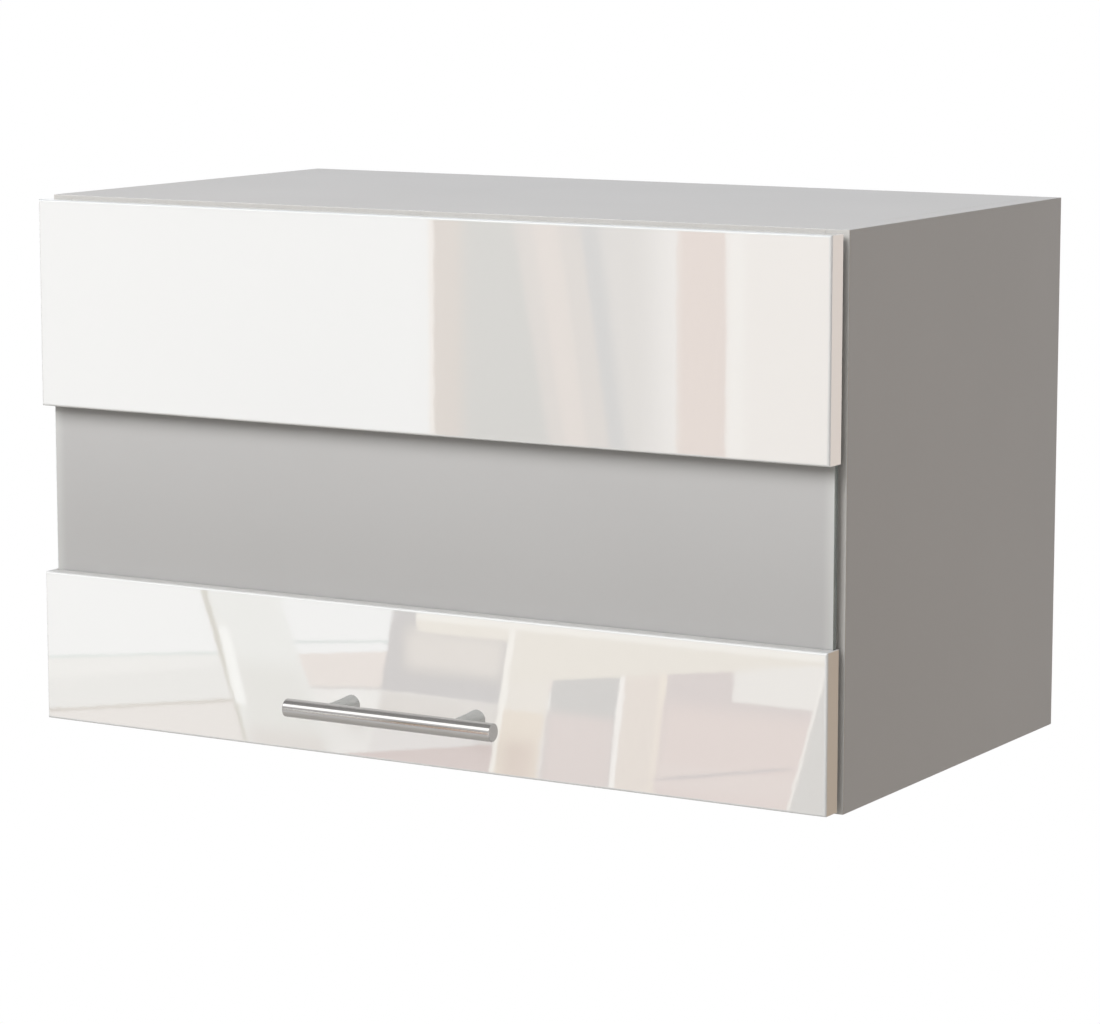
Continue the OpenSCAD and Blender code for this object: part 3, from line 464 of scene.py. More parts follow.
def level_sheet(half, z):
    """The corners of a level square sheet."""
    return [(-half, -half, z), (half, -half, z), (half, half, z), (-half, half, z)]


def leaning_strip(seen_from, rise, distance, span, half):
    """The corners of a long strip that faces a point: out from it to the front and up, by an angle
    of rise radians above level, with its long way along X."""
    out = Vector((0, -math.cos(rise), math.sin(rise)))
    up = Vector((0, math.sin(rise), math.cos(rise)))
    centre = Vector(seen_from) + out * distance
    return [Vector((x, 0, 0)) + centre + up * side for x, side in (
        (span[0], -half), (span[1], -half), (span[1], half), (span[0], half))]


# %% Hang the plain reflectors
BESIDE_X = (0.70, 0.775)                    # metres; the narrow sheets that the door's ends mirror
BESIDE_Y = 0.55
CORNER_X, CORNER_Y = 3.0, -2.55             # where the two white sheets meet
CORNER_Z = (-1.2, 0.3)
WHITE_LIGHT = 1.35
STRIP_RISE = 0.766                          # radians
bar_low, bar_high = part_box("handle_bar")

plain_reflector("warm_side_reflector", upright(*BESIDE_X, BESIDE_Y, 0.0, 0.42), "#f4e5da", 2.12)
plain_reflector("tan_side_reflector", upright(*BESIDE_X, BESIDE_Y, -0.40, 0.0), "#ecc9a0", 1.0)
plain_reflector("corner_reflector_front", upright(-0.74, CORNER_X, CORNER_Y, *CORNER_Z),
                "#fff8f4", WHITE_LIGHT)
plain_reflector("corner_reflector_side", upright_side(CORNER_X, CORNER_Y, -0.3, *CORNER_Z),
                "#fff8f4", WHITE_LIGHT)
plain_reflector("handle_reflector", leaning_strip(
    (bar_low + bar_high) / 2, STRIP_RISE, 3.0, (-5.0, 4.0), 0.8), "#ffffff", 2.6)
plain_reflector("grey_top_sheet", level_sheet(4.0, 2.9), "#bcbcbc", 1.0)
plain_reflector("grey_front_sheet", upright(-5.0, 5.0, -4.6, -1.39, 0.9), "#c8c8c6", 1.0)

# %% [markdown]
# ## Finishes
# Each finish starts from what the real surface is and how it was made. One function starts them
# all: it makes the material, sets what is the same all over it, and gives the place that patterns
# follow, which is the piece's own, so that a pattern stays put when the door turns.

# %% Start a finish
def start_finish(name, sockets):
    """A new material, its tree, its main shader with these sockets set, and the object's own place."""
    material = bpy.data.materials.new(name)
    material.use_nodes = True
    tree = material.node_tree
    shader = tree.nodes["Principled BSDF"]
    connect(tree, shader, sockets)
    place = add(tree, "TexCoord").outputs["Object"]
    print("finish", name)
    return material, tree, shader, place


# %% [markdown]
# The carcass is chipboard faced with melamine paper pressed against a pearl textured plate: matt,
# with a fine grain that breaks up the shine. The plate's pearls are under a millimetre; they are
# drawn 1.6 mm wide so that they still show.

# %% Pearl melamine
melamine, tree, shader, place = start_finish("grey_pearl_melamine", {"IOR": 1.5})
cloud = add(tree, "TexNoise", {"Vector": place, "Scale": per_mm(120), "Detail": 1.0})
pearls = add(tree, "TexNoise", {"Vector": place, "Scale": per_mm(1.6), "Detail": 2.0})
paper = add(tree, "Mix", {0: cloud.outputs[0], 6: tone("#c3bcb6"), 7: tone("#c9c2bc")}, data_type="RGBA")
satin = add(tree, "MapRange", {0: pearls.outputs[0], 3: 0.38, 4: 0.50})
relief = add(tree, "Bump", {"Height": pearls.outputs[0], "Strength": 0.25, "Distance": 0.04 * MM})
connect(tree, shader, {
    "Base Color": paper.outputs[2], "Roughness": satin.outputs[0], "Normal": relief.outputs[0]})

# %% [markdown]
# Where a board is cut or bored, its core shows: chips of wood 2 to 5 mm long pressed with glue,
# straw coloured with darker chips among them. Voronoi cells give each chip a tone of its own.

# %% Raw chipboard
chipboard, tree, shader, place = start_finish("raw_chipboard", {"Roughness": 0.9})
chips = add(tree, "TexVoronoi", {"Vector": place, "Scale": per_mm(3.2), "Randomness": 1.0})
fibres = add(tree, "TexNoise", {"Vector": place, "Scale": per_mm(1.2), "Detail": 4.0})
which = add(tree, "SeparateColor", {0: chips.outputs["Color"]})
wood = add(tree, "Mix", {0: which.outputs[0], 6: tone("#b3936a"), 7: tone("#e6cfa6")}, data_type="RGBA")
glue = add(tree, "MapRange", {0: fibres.outputs[0], 1: 0.35, 2: 0.75, 3: 0.1, 4: 0.7})
wood = add(tree, "Mix", {0: glue.outputs[0], 6: wood.outputs[2], 7: tone("#cdb188")}, data_type="RGBA")
relief = add(tree, "Bump", {"Height": chips.outputs["Distance"], "Strength": 0.5, "Distance": 0.3 * MM})
connect(tree, shader, {"Base Color": wood.outputs[2], "Normal": relief.outputs[0]})

# %% [markdown]
# The front edges wear a 1 mm plastic band of the face's colour, glued on and scraped flush. Scraping
# leaves it smoother than the face, with faint marks that run upright, as along the bands of the side
# boards. Its colour is painted a little lighter than the face: painted light that lifts the band where
# it lies in shade, in the slit behind the door.

# %% ABS edge band
edge_band, tree, shader, place = start_finish("scraped_abs_edge_band_painted_lighter", {"IOR": 1.5})
squeezed = add(tree, "Mapping", {"Vector": place, "Scale": (1.0, 0.2, 0.04)})
marks = add(tree, "TexNoise", {"Vector": squeezed.outputs[0], "Scale": per_mm(1.5), "Detail": 3.0})
# painted light: the band's tones are a little lighter than the melamine's, to lift it where it lies in
# shade
plastic = add(tree, "Mix", {0: marks.outputs[0], 6: tone("#d0cdc9"), 7: tone("#d6d3cf")}, data_type="RGBA")
satin = add(tree, "MapRange", {0: marks.outputs[0], 3: 0.28, 4: 0.42})
connect(tree, shader, {"Base Color": plastic.outputs[2], "Roughness": satin.outputs[0]})

# %% [markdown]
# The back is a 3 mm sheet of hardboard: white lacquer inside, and behind it bare brown fibre that
# carries the print of the wire sieve it was pressed on. The wires of a real sieve lie 2 mm apart;
# they are drawn twice as far apart so that they show. A wave texture turns 20 radians for each unit
# of its scale, so a wave of a given width needs pi / 10 times the scale of a noise of that width.

# %% Hardboard, its lacquered face and its sieve side
WIRE_PITCH = 4.34                           # mm
hardboard_white, tree, shader, place = start_finish("white_lacquered_hardboard", {"Roughness": 0.45})
mottle = add(tree, "TexNoise", {"Vector": place, "Scale": per_mm(4), "Detail": 3.0})
paint = add(tree, "Mix", {0: mottle.outputs[0], 6: tone("#dededb"), 7: tone("#e6e6e3")}, data_type="RGBA")
relief = add(tree, "Bump", {"Height": mottle.outputs[0], "Strength": 0.3, "Distance": 0.05 * MM})
connect(tree, shader, {"Base Color": paint.outputs[2], "Normal": relief.outputs[0]})

hardboard_brown, tree, shader, place = start_finish("bare_hardboard", {"Roughness": 0.85})
fibres = add(tree, "TexNoise", {"Vector": place, "Scale": per_mm(6), "Detail": 5.0})
wires = [add(tree, "TexWave", {"Vector": place, "Scale": per_mm(WIRE_PITCH) * math.pi / 10},
             bands_direction=direction) for direction in "XZ"]
sieve = add(tree, "Math", {0: wires[0].outputs[1], 1: wires[1].outputs[1]}, operation="MULTIPLY")
brown = add(tree, "Mix", {0: fibres.outputs[0], 6: tone("#8b6743"), 7: tone("#ad875e")}, data_type="RGBA")
relief = add(tree, "Bump", {"Height": sieve.outputs[0], "Strength": 0.7, "Distance": 0.3 * MM})
connect(tree, shader, {"Base Color": brown.outputs[2], "Normal": relief.outputs[0]})

# %% [markdown]
# The door boards are MDF under a sprayed and polished white lacquer. It is white below and clear on
# top, so a smooth white surface lies under a clear coat, whose index is raised until it mirrors
# about a seventh of the studio. Spraying leaves a very shallow orange peel some 7 mm across, which
# makes the mirrored edges waver a little.

# %% High gloss lacquer
lacquer, tree, shader, place = start_finish("polished_white_lacquer", {
    "Roughness": 0.02, "IOR": 1.5, "Coat Weight": 1.0, "Coat Roughness": 0.008, "Coat IOR": 1.8})
cloud = add(tree, "TexNoise", {"Vector": place, "Scale": per_mm(200), "Detail": 1.0})
peel = add(tree, "TexNoise", {"Vector": place, "Scale": per_mm(7), "Detail": 1.0})
white = add(tree, "Mix", {0: cloud.outputs[0], 6: tone("#e4e4e3"), 7: tone("#e8e8e7")}, data_type="RGBA")
relief = add(tree, "Bump", {"Height": peel.outputs[0], "Strength": 0.6, "Distance": 0.006 * MM})
connect(tree, shader, {"Base Color": white.outputs[2], "Coat Normal": relief.outputs[0]})

# %% [markdown]
# Where the glass lies in its rebate, the board's long edge is sprayed but not polished, because the
# polishing wheel doesn't get in beside the glass. It stays satin. Its colour is painted grey, well
# below the lacquer's white, as painted shade for the grey that this narrow ledge shows beside the glass.

# %% Unpolished lacquer, painted grey as shade
ledge_lacquer_painted_shade, tree, shader, place = start_finish("unpolished_lacquer_painted_shade", {"Roughness": 0.55, "IOR": 1.4})
spray = add(tree, "TexNoise", {"Vector": place, "Scale": per_mm(2.5), "Detail": 2.0})
paint = add(tree, "Mix", {0: spray.outputs[0], 6: tone("#c9c8c6"), 7: tone("#cfcecc")}, data_type="RGBA")
relief = add(tree, "Bump", {"Height": spray.outputs[0], "Strength": 0.2, "Distance": 0.03 * MM})
connect(tree, shader, {"Base Color": paint.outputs[2], "Normal": relief.outputs[0]})

# %% [markdown]
# The back of a gloss front is cheaper: a satin white foil. Its bores and rebates show the MDF
# itself, fine tan fibre without chips.

# %% Satin foil and raw MDF
door_foil, tree, shader, place = start_finish("satin_white_foil", {"IOR": 1.5})
grain = add(tree, "TexNoise", {"Vector": place, "Scale": per_mm(1.8), "Detail": 2.0})
paper = add(tree, "Mix", {0: grain.outputs[0], 6: tone("#dfdfdd"), 7: tone("#e5e5e3")}, data_type="RGBA")
satin = add(tree, "MapRange", {0: grain.outputs[0], 3: 0.34, 4: 0.44})
connect(tree, shader, {"Base Color": paper.outputs[2], "Roughness": satin.outputs[0]})

mdf, tree, shader, place = start_finish("raw_mdf", {"Roughness": 0.92})
fibres = add(tree, "TexNoise", {"Vector": place, "Scale": per_mm(0.9), "Detail": 6.0})
tan = add(tree, "Mix", {0: fibres.outputs[0], 6: tone("#a98862"), 7: tone("#c2a27b")}, data_type="RGBA")
relief = add(tree, "Bump", {"Height": fibres.outputs[0], "Strength": 0.4, "Distance": 0.1 * MM})
connect(tree, shader, {"Base Color": tan.outputs[2], "Normal": relief.outputs[0]})

# %% [markdown]
# The strip is float glass etched with acid. The etched skin spreads the light like fine frost, so it
# looks an even pale grey, and only things that nearly touch it show through. Its edges are ground
# and polished, and there the glass shows its own grey green. Light that comes in at a polished end
# leaves through the frost beside it, so the last few millimetres of the strip are painted paler, as painted
# light.

# %% Satin glass and its polished edge
satin_glass, tree, shader, place = start_finish("etched_satin_glass", {
    "IOR": 1.5, "Transmission Weight": 0.20})
frost = add(tree, "TexNoise", {"Vector": place, "Scale": per_mm(1.2), "Detail": 3.0})
cloud = add(tree, "TexNoise", {"Vector": place, "Scale": per_mm(150), "Detail": 1.0})
milk = add(tree, "Mix", {0: cloud.outputs[0], 6: tone("#cac9c8"), 7: tone("#cecdcc")}, data_type="RGBA")
along = add(tree, "SeparateXYZ", {0: place})
from_middle = add(tree, "Math", {0: along.outputs[0]}, operation="ABSOLUTE")
GLASS_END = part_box("glass_strip")[1].x
PAINTED_PALE_END = 9 * MM                           # how far the light from the polished end reaches
# painted light: the strip's colour turns paler towards its polished ends
painted_end_light = add(tree, "MapRange", {0: from_middle.outputs[0], 1: GLASS_END - PAINTED_PALE_END, 2: GLASS_END},
          interpolation_type="SMOOTHSTEP")
milk = add(tree, "Mix", {0: painted_end_light.outputs[0], 6: milk.outputs[2], 7: tone("#dcdcda")}, data_type="RGBA")
matt = add(tree, "MapRange", {0: frost.outputs[0], 3: 0.46, 4: 0.56})
relief = add(tree, "Bump", {"Height": frost.outputs[0], "Strength": 0.15, "Distance": 0.02 * MM})
connect(tree, shader, {
    "Base Color": milk.outputs[2], "Roughness": matt.outputs[0], "Normal": relief.outputs[0]})

glass_edge, tree, shader, place = start_finish("polished_glass_edge", {
    "Roughness": 0.08, "IOR": 1.52, "Transmission Weight": 0.35})
depth = add(tree, "TexNoise", {"Vector": place, "Scale": per_mm(9), "Detail": 2.0})
green = add(tree, "Mix", {0: depth.outputs[0], 6: tone("#8f9a95"), 7: tone("#a5aeaa")}, data_type="RGBA")
connect(tree, shader, {"Base Color": green.outputs[2]})

# %% [markdown]
# The handle is stainless steel, brushed along its length on a belt. The grit of about 0.1 mm
# leaves long fine scratches, drawn 0.5 mm wide here, which stretch a highlight across them and
# change its strength from line to line.

# %% Brushed stainless steel
def brushed(name, darker, lighter, along, smooth, rough):
    """Stainless steel between two tones, brushed along one axis: the noise is drawn out fifty times
    as long that way as across it."""
    material, tree, shader, place = start_finish(name, {"Metallic": 1.0, "Anisotropic": 0.3})
    drawn_out = add(tree, "Mapping", {"Vector": place, "Scale": along})
    scratches = add(tree, "TexNoise", {"Vector": drawn_out.outputs[0], "Scale": per_mm(0.5), "Detail": 3.0})
    steel = add(tree, "Mix", {0: scratches.outputs[0], 6: tone(darker), 7: tone(lighter)}, data_type="RGBA")
    polish = add(tree, "MapRange", {0: scratches.outputs[0], 3: smooth, 4: rough})
    relief = add(tree, "Bump", {"Height": scratches.outputs[0], "Strength": 0.2, "Distance": 0.01 * MM})
    connect(tree, shader, {
        "Base Color": steel.outputs[2], "Roughness": polish.outputs[0], "Normal": relief.outputs[0]})
    return material


brushed_bar = brushed("brushed_stainless_bar", "#a3a09e", "#bfbebc", (0.02, 1.0, 1.0), 0.10, 0.18)
brushed_posts = brushed("brushed_stainless_posts", "#a6a6a4", "#bcbcba", (1.0, 0.02, 1.0), 0.24, 0.34)

# %% [markdown]
# Hinges, plates, levers and screws are pressed or turned steel with a bright nickel plating. The
# plating follows the rolled steel below it, so the shine is broken by a shallow ripple, and it is
# slightly duller where hands and tools have been.

# %% Nickel plating
nickel, tree, shader, place = start_finish("nickel_plated_steel", {"Metallic": 1.0})
ripple = add(tree, "TexNoise", {"Vector": place, "Scale": per_mm(5), "Detail": 2.0})
handled = add(tree, "TexNoise", {"Vector": place, "Scale": per_mm(14), "Detail": 4.0})
plate = add(tree, "Mix", {0: handled.outputs[0], 6: tone("#bdbab4"), 7: tone("#d2d0cb")}, data_type="RGBA")
shine = add(tree, "MapRange", {0: handled.outputs[0], 3: 0.20, 4: 0.34})
relief = add(tree, "Bump", {"Height": ripple.outputs[0], "Strength": 0.3, "Distance": 0.03 * MM})
connect(tree, shader, {
    "Base Color": plate.outputs[2], "Roughness": shine.outputs[0], "Normal": relief.outputs[0]})

# %% [markdown]
# Cam locks and the stays' bases are die cast zinc, left as they leave the die: a dull blue grey
# with the slightly grainy skin of the casting.

# %% Cast zinc
zinc, tree, shader, place = start_finish("die_cast_zinc", {"Metallic": 1.0})
skin_grain = add(tree, "TexNoise", {"Vector": place, "Scale": per_mm(0.8), "Detail": 4.0})
flow = add(tree, "TexNoise", {"Vector": place, "Scale": per_mm(10), "Detail": 3.0})
metal = add(tree, "Mix", {0: flow.outputs[0], 6: tone("#8e9194"), 7: tone("#a9acae")}, data_type="RGBA")
dull = add(tree, "MapRange", {0: skin_grain.outputs[0], 3: 0.40, 4: 0.58})
relief = add(tree, "Bump", {"Height": skin_grain.outputs[0], "Strength": 0.5, "Distance": 0.04 * MM})
connect(tree, shader, {
    "Base Color": metal.outputs[2], "Roughness": dull.outputs[0], "Normal": relief.outputs[0]})

# %% [markdown]
# The dowels are beech, planed along the grain: pinkish tan with fine darker pores drawn out along
# the dowel, which lies across the cabinet.

# %% Beech
beech, tree, shader, place = start_finish("planed_beech", {"Roughness": 0.62})
along_grain = add(tree, "Mapping", {"Vector": place, "Scale": (0.12, 1.0, 1.0)})
pores = add(tree, "TexNoise", {"Vector": along_grain.outputs[0], "Scale": per_mm(0.7), "Detail": 4.0})
timber = add(tree, "Mix", {0: pores.outputs[0], 6: tone("#b98d5e"), 7: tone("#dfbd8f")}, data_type="RGBA")
relief = add(tree, "Bump", {"Height": pores.outputs[0], "Strength": 0.4, "Distance": 0.05 * MM})
connect(tree, shader, {"Base Color": timber.outputs[2], "Normal": relief.outputs[0]})

# %% [markdown]
# Caps, hanger cases and stay covers are injection moulded. The mould is spark eroded, which prints
# a fine even grain of about 0.3 mm on the plastic, drawn 0.9 mm wide here. White and grey parts
# differ only in colour, so one function makes both.

# %% Moulded plastics
def moulded(name, darker, lighter):
    """Injection moulded plastic between two tones, with the mould's fine eroded grain."""
    material, tree, shader, place = start_finish(name, {"IOR": 1.46})
    grain = add(tree, "TexNoise", {"Vector": place, "Scale": per_mm(0.9), "Detail": 3.0})
    flow = add(tree, "TexNoise", {"Vector": place, "Scale": per_mm(18), "Detail": 2.0})
    plastic = add(tree, "Mix", {0: flow.outputs[0], 6: tone(darker), 7: tone(lighter)}, data_type="RGBA")
    satin = add(tree, "MapRange", {0: grain.outputs[0], 3: 0.36, 4: 0.50})
    relief = add(tree, "Bump", {"Height": grain.outputs[0], "Strength": 0.35, "Distance": 0.03 * MM})
    connect(tree, shader, {
        "Base Color": plastic.outputs[2], "Roughness": satin.outputs[0], "Normal": relief.outputs[0]})
    return material


white_plastic = moulded("moulded_white_plastic", "#dcdcd8", "#e4e4e0")
grey_plastic = moulded("moulded_grey_plastic", "#808386", "#8c8f92")

# %% [markdown]
# The door's bumpers and the glazing seals are soft clear plastic. It is milky rather than clear,
# because light wanders about in it before it comes out.

# %% Soft clear plastic
soft_clear, tree, shader, place = start_finish("soft_clear_plastic", {
    "IOR": 1.48, "Transmission Weight": 0.55, "Roughness": 0.25})
haze = add(tree, "TexNoise", {"Vector": place, "Scale": per_mm(3), "Detail": 2.0})
milk = add(tree, "Mix", {0: haze.outputs[0], 6: tone("#d9dcdc"), 7: tone("#e9ebeb")}, data_type="RGBA")
connect(tree, shader, {"Base Color": milk.outputs[2]})

# %% [markdown]
# ## Breaking the edges
# A sharp CAD edge gives no highlight, and no real edge is that sharp: a board's edge is eased, a
# pressed part has a burr rolled over, a moulding a small radius. So each piece that keeps its CAD
# shape is copied, its loose triangles merged and its flat faces joined again, and its edges are
# broken by a bevel of the size that the real process leaves. Weighted normals keep the flats flat.
# The list gives the finish and the eased edge, in millimetres, for each kind of material.

# %% What each material gets
KINDS = {
    "carcass_board": (melamine, 0.20),
    "back_board": (hardboard_white, 0.15),
    "edge_band": (edge_band, 0.30),
    "gloss_front": (lacquer, 0.25),
    "plated_steel": (nickel, 0.20),
    "dull_zinc": (zinc, 0.40),
    "white_plastic": (white_plastic, 0.45),
    "grey_plastic": (grey_plastic, 0.35),
}
KIND_OF = {name: node.data.materials[0].name for name, node in frame["nodes"].items()}
print(sorted(set(KIND_OF.values())))

# %% [markdown]
# A finished mesh takes its CAD node's place: it rides on the same body, and the node is hidden.

# %% Copy a piece and break its edges
SHARP = math.radians(32)                    # edges that turn more than this are broken
FLAT = math.radians(0.5)                    # faces that turn less than this are one flat face
SAME_POINT = 0.002 * MM                     # corners of two triangles this near are one


def place_piece(name, mesh, node, finishes):
    """Links a finished mesh as the piece that stands for a CAD node, with its body."""
    piece = bpy.data.objects.new(name, mesh)
    scene.collection.objects.link(piece)
    for finish in finishes:
        mesh.materials.append(finish)
    mesh.polygons.foreach_set("use_smooth", np.ones(len(mesh.polygons), dtype=bool))
    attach(piece, frame["nodes"][node]["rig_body"])
    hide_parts(node)
    return piece


def ease(piece, width):
    """Breaks a piece's sharp edges by width millimetres, and keeps its flats flat."""
    bevel = piece.modifiers.new("eased_edges", "BEVEL")
    bevel.width = width * MM
    bevel.segments = 2
    bevel.limit_method = "ANGLE"
    bevel.angle_limit = SHARP
    bevel.use_clamp_overlap = False
    piece.modifiers.new("flat_flats", "WEIGHTED_NORMAL").keep_sharp = False


def eased_copy(node):
    """A merged copy of a CAD node with its edges broken."""
    finish, width = KINDS[KIND_OF[node]]
    shape = bmesh.new()
    shape.from_mesh(frame["nodes"][node].data)
    bmesh.ops.remove_doubles(shape, verts=shape.verts, dist=SAME_POINT)
    bmesh.ops.dissolve_limit(shape, angle_limit=FLAT, verts=shape.verts, edges=shape.edges)
    mesh = bpy.data.meshes.new(node + "_eased")
    shape.to_mesh(mesh)
    shape.free()
    if "custom_normal" in mesh.attributes:
        mesh.attributes.remove(mesh.attributes["custom_normal"])
    piece = place_piece(node + "_eased", mesh, node, [finish])
    ease(piece, width)
    return piece


# %% [markdown]
# ## Boards with more than one finish
# A board is faced on its two sides, but bare where it is cut and bored. A face tells which it is by
# where its middle lies and which way it points, so the finish is chosen for all faces at once.

# %% Choose a finish by face
SQUARE = 0.99                               # a normal with this much of one axis is square to it
ON_PLANE = 0.02 * MM                        # how near to a plane a face's middle lies on it


def faces_of(mesh):
    """The middles and the normals of all faces, as two arrays."""
    middles, normals = np.empty(len(mesh.polygons) * 3), np.empty(len(mesh.polygons) * 3)
    mesh.polygons.foreach_get("center", middles)
    mesh.polygons.foreach_get("normal", normals)
    return middles.reshape(-1, 3), normals.reshape(-1, 3)


def on_skin(middles, normals, low, high, axis):
    """True for faces that lie in one of the two box planes square to that axis."""
    near_low = np.abs(middles[:, axis] - low[axis]) < ON_PLANE
    near_high = np.abs(middles[:, axis] - high[axis]) < ON_PLANE
    return (np.abs(normals[:, axis]) > SQUARE) & (near_low | near_high)


def refinish(piece, finish, chosen):
    """Adds a finish to a piece and gives it to the chosen faces."""
    piece.data.materials.append(finish)
    index = np.zeros(len(piece.data.polygons), dtype=np.int32)
    piece.data.polygons.foreach_get("material_index", index)
    index[chosen] = len(piece.data.materials) - 1
    piece.data.polygons.foreach_set("material_index", index)
    print(piece.name, finish.name, "on", int(chosen.sum()), "faces")


# %% Ease every piece that keeps its CAD shape
OWN_SHAPE = {"glass_strip", "glazing_seals", "door_bumpers", "handle_bar", "handle_posts", "dowels"}
eased = {node: eased_copy(node) for node in sorted(frame["nodes"]) if node not in OWN_SHAPE}
eased["handle_screws"].visible_glossy = False    # like the handle itself, which is made further on
print(len(eased), "pieces eased")

# %% [markdown]
# The carcass boards are faced left and right or above and below, where they lie in their own box.
# All their other faces are bare chipboard. The back panel is lacquered only towards the front.

# %% Bare the cores of the boards
for node in ("left_side", "right_side", "top_panel", "bottom_panel"):
    middles, normals = faces_of(eased[node].data)
    low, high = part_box(node)
    faced = on_skin(middles, normals, low, high, 0) | on_skin(middles, normals, low, high, 2)
    refinish(eased[node], chipboard, ~faced)

middles, normals = faces_of(eased["back_panel"].data)
refinish(eased["back_panel"], hardboard_brown, normals[:, 1] > -0.5)

# %% [markdown]
# A door board has four finishes. Its front, with the rounding, and its edges are lacquered. The
# edge beside the glass is lacquered and not polished, and its colour is painted grey as shade. Its
# back is foil, and the walls and floors of its bores and its rebate are raw MDF.

# %% Finish the door boards
GLASS_MIDDLE = (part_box("glass_strip")[0].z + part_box("glass_strip")[1].z) / 2
LACQUER_DEPTH = 2.0 * MM                    # the lacquered front and its rounding, from the door's face
FOIL_DEPTH = 6.0 * MM                       # deeper than this, a back face is the floor of a bore
LEDGE_REACH = 70 * MM                       # from the glass's middle, past the edges beside it
for node in ("upper_front", "lower_front"):
    middles, normals = faces_of(eased[node].data)
    low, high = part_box(node)
    skin = on_skin(middles, normals, low, high, 0) | on_skin(middles, normals, low, high, 2)
    rounding = middles[:, 1] < DOOR_FACE + LACQUER_DEPTH
    behind = ~(skin | rounding) & (normals[:, 1] > SQUARE) & (middles[:, 1] > DOOR_BACK - FOIL_DEPTH)
    refinish(eased[node], door_foil, behind)
    refinish(eased[node], mdf, ~(skin | rounding | behind))
    ledge = skin & (np.abs(middles[:, 2] - GLASS_MIDDLE) < LEDGE_REACH) & ~rounding
    # the ledge beside the glass gets the lacquer painted grey as shade
    refinish(eased[node], ledge_lacquer_painted_shade, ledge)

# %% [markdown]
# ## Surfaces from a formula
# The pieces that follow are worked out as grids of points. A grid has rings along the piece and
# points round each ring, and one function puts a skin over it and closes its ends. A ring that
# has shrunk to a point closes as a pole.

# %% Put a skin over rings of points
POLE = 0.0005 * MM                          # points of a ring this near have shrunk to a pole


def skinned(node, solids, finishes):
    """One piece from several solids. Each is an array (ring, point round the ring, xyz)."""
    points, faces, first = [], [], 0
    for rings in solids:
        count, around = rings.shape[:2]
        corner = first + np.arange(count * around).reshape(count, around)
        beside = np.roll(corner, -1, axis=1)
        sides = np.stack([corner[:-1], beside[:-1], beside[1:], corner[1:]], axis=-1)
        faces += sides.reshape(-1, 4).tolist() + [corner[0].tolist(), corner[-1].tolist()]
        points.append(rings.reshape(-1, 3))
        first += count * around
    mesh = bpy.data.meshes.new(node + "_formed")
    mesh.from_pydata(np.concatenate(points), [], faces)
    shape = bmesh.new()
    shape.from_mesh(mesh)
    bmesh.ops.remove_doubles(shape, verts=shape.verts, dist=POLE)
    bmesh.ops.dissolve_degenerate(shape, edges=shape.edges, dist=POLE)
    bmesh.ops.recalc_face_normals(shape, faces=shape.faces)
    shape.to_mesh(mesh)
    shape.free()
    piece = place_piece(node + "_formed", mesh, node, finishes)
    mesh.set_sharp_from_angle(angle=SHARP)
    print(piece.name, len(mesh.polygons), "faces")
    return piece


def turned(profile, start, along, around):
    """Rings of a turned solid: profile holds (distance, radius) pairs, and a point is
    start + distance * along + radius * (cos a * across + sin a * other)."""
    along = np.array(along, float)
    across = np.array((0, 0, 1.0))
    other = np.cross(along, across)
    angle = np.linspace(0, 2 * math.pi, around, endpoint=False)
    circle = np.cos(angle)[:, None] * across + np.sin(angle)[:, None] * other
    distance, radius = np.array(profile, float).T
    return np.array(start) + distance[:, None, None] * along + radius[:, None, None] * circle


# %% [markdown]
# ## The glass strip
# The strip is one flat glass. Its long arrises and its ends are ground to a small chamfer, which
# draws a fine bright line round it. The section is a rounded rectangle carried along the strip,
# and it shrinks over the last 0.4 mm at each end.

# %% Grind the glass strip
ARRIS = 0.4 * MM
EDGE_TILT = 0.9                             # a face that looks less straight to the front is an edge


def rounded_section(y0, y1, z0, z1, radius, steps):
    """The outline of a rectangle in Y and Z with rounded corners: middle + radius * (cos a, sin a)
    over a quarter turn for each corner, in turn from the far upper one."""
    quarter = np.linspace(0, math.pi / 2, steps)
    centres = [(y1 - radius, z1 - radius), (y0 + radius, z1 - radius),
               (y0 + radius, z0 + radius), (y1 - radius, z0 + radius)]
    arcs = [np.stack([y + radius * np.cos(quarter + turn * math.pi / 2),
                      z + radius * np.sin(quarter + turn * math.pi / 2)], axis=-1)
            for turn, (y, z) in enumerate(centres)]
    return np.concatenate(arcs)


def drawn(section_at, stations):
    """Rings of a solid drawn along X: section_at(inset) is its outline, shrunk by inset at each
    station (x, inset)."""
    rings = []
    for x, inset in stations:
        outline = section_at(inset)
        rings.append(np.column_stack([np.full(len(outline), x), outline]))
    return np.stack(rings)


low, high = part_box("glass_strip")
ends = [(low.x, ARRIS), (low.x + ARRIS, 0), (high.x - ARRIS, 0), (high.x, ARRIS)]
glass = skinned("glass_strip", [drawn(
    lambda inset: rounded_section(low.y + inset, high.y - inset, low.z + inset, high.z - inset, ARRIS, 3),
    ends)], [satin_glass])
middles, normals = faces_of(glass.data)
refinish(glass, glass_edge, np.abs(normals[:, 1]) < EDGE_TILT)

# %% [markdown]
# ## Glazing seals
# A soft strip lies between the glass and each board. It is extruded with three low ribs, which
# flatten against what they touch: its thickness is its full one times 0.7 minus 0.3 times a cosine
# across its height.

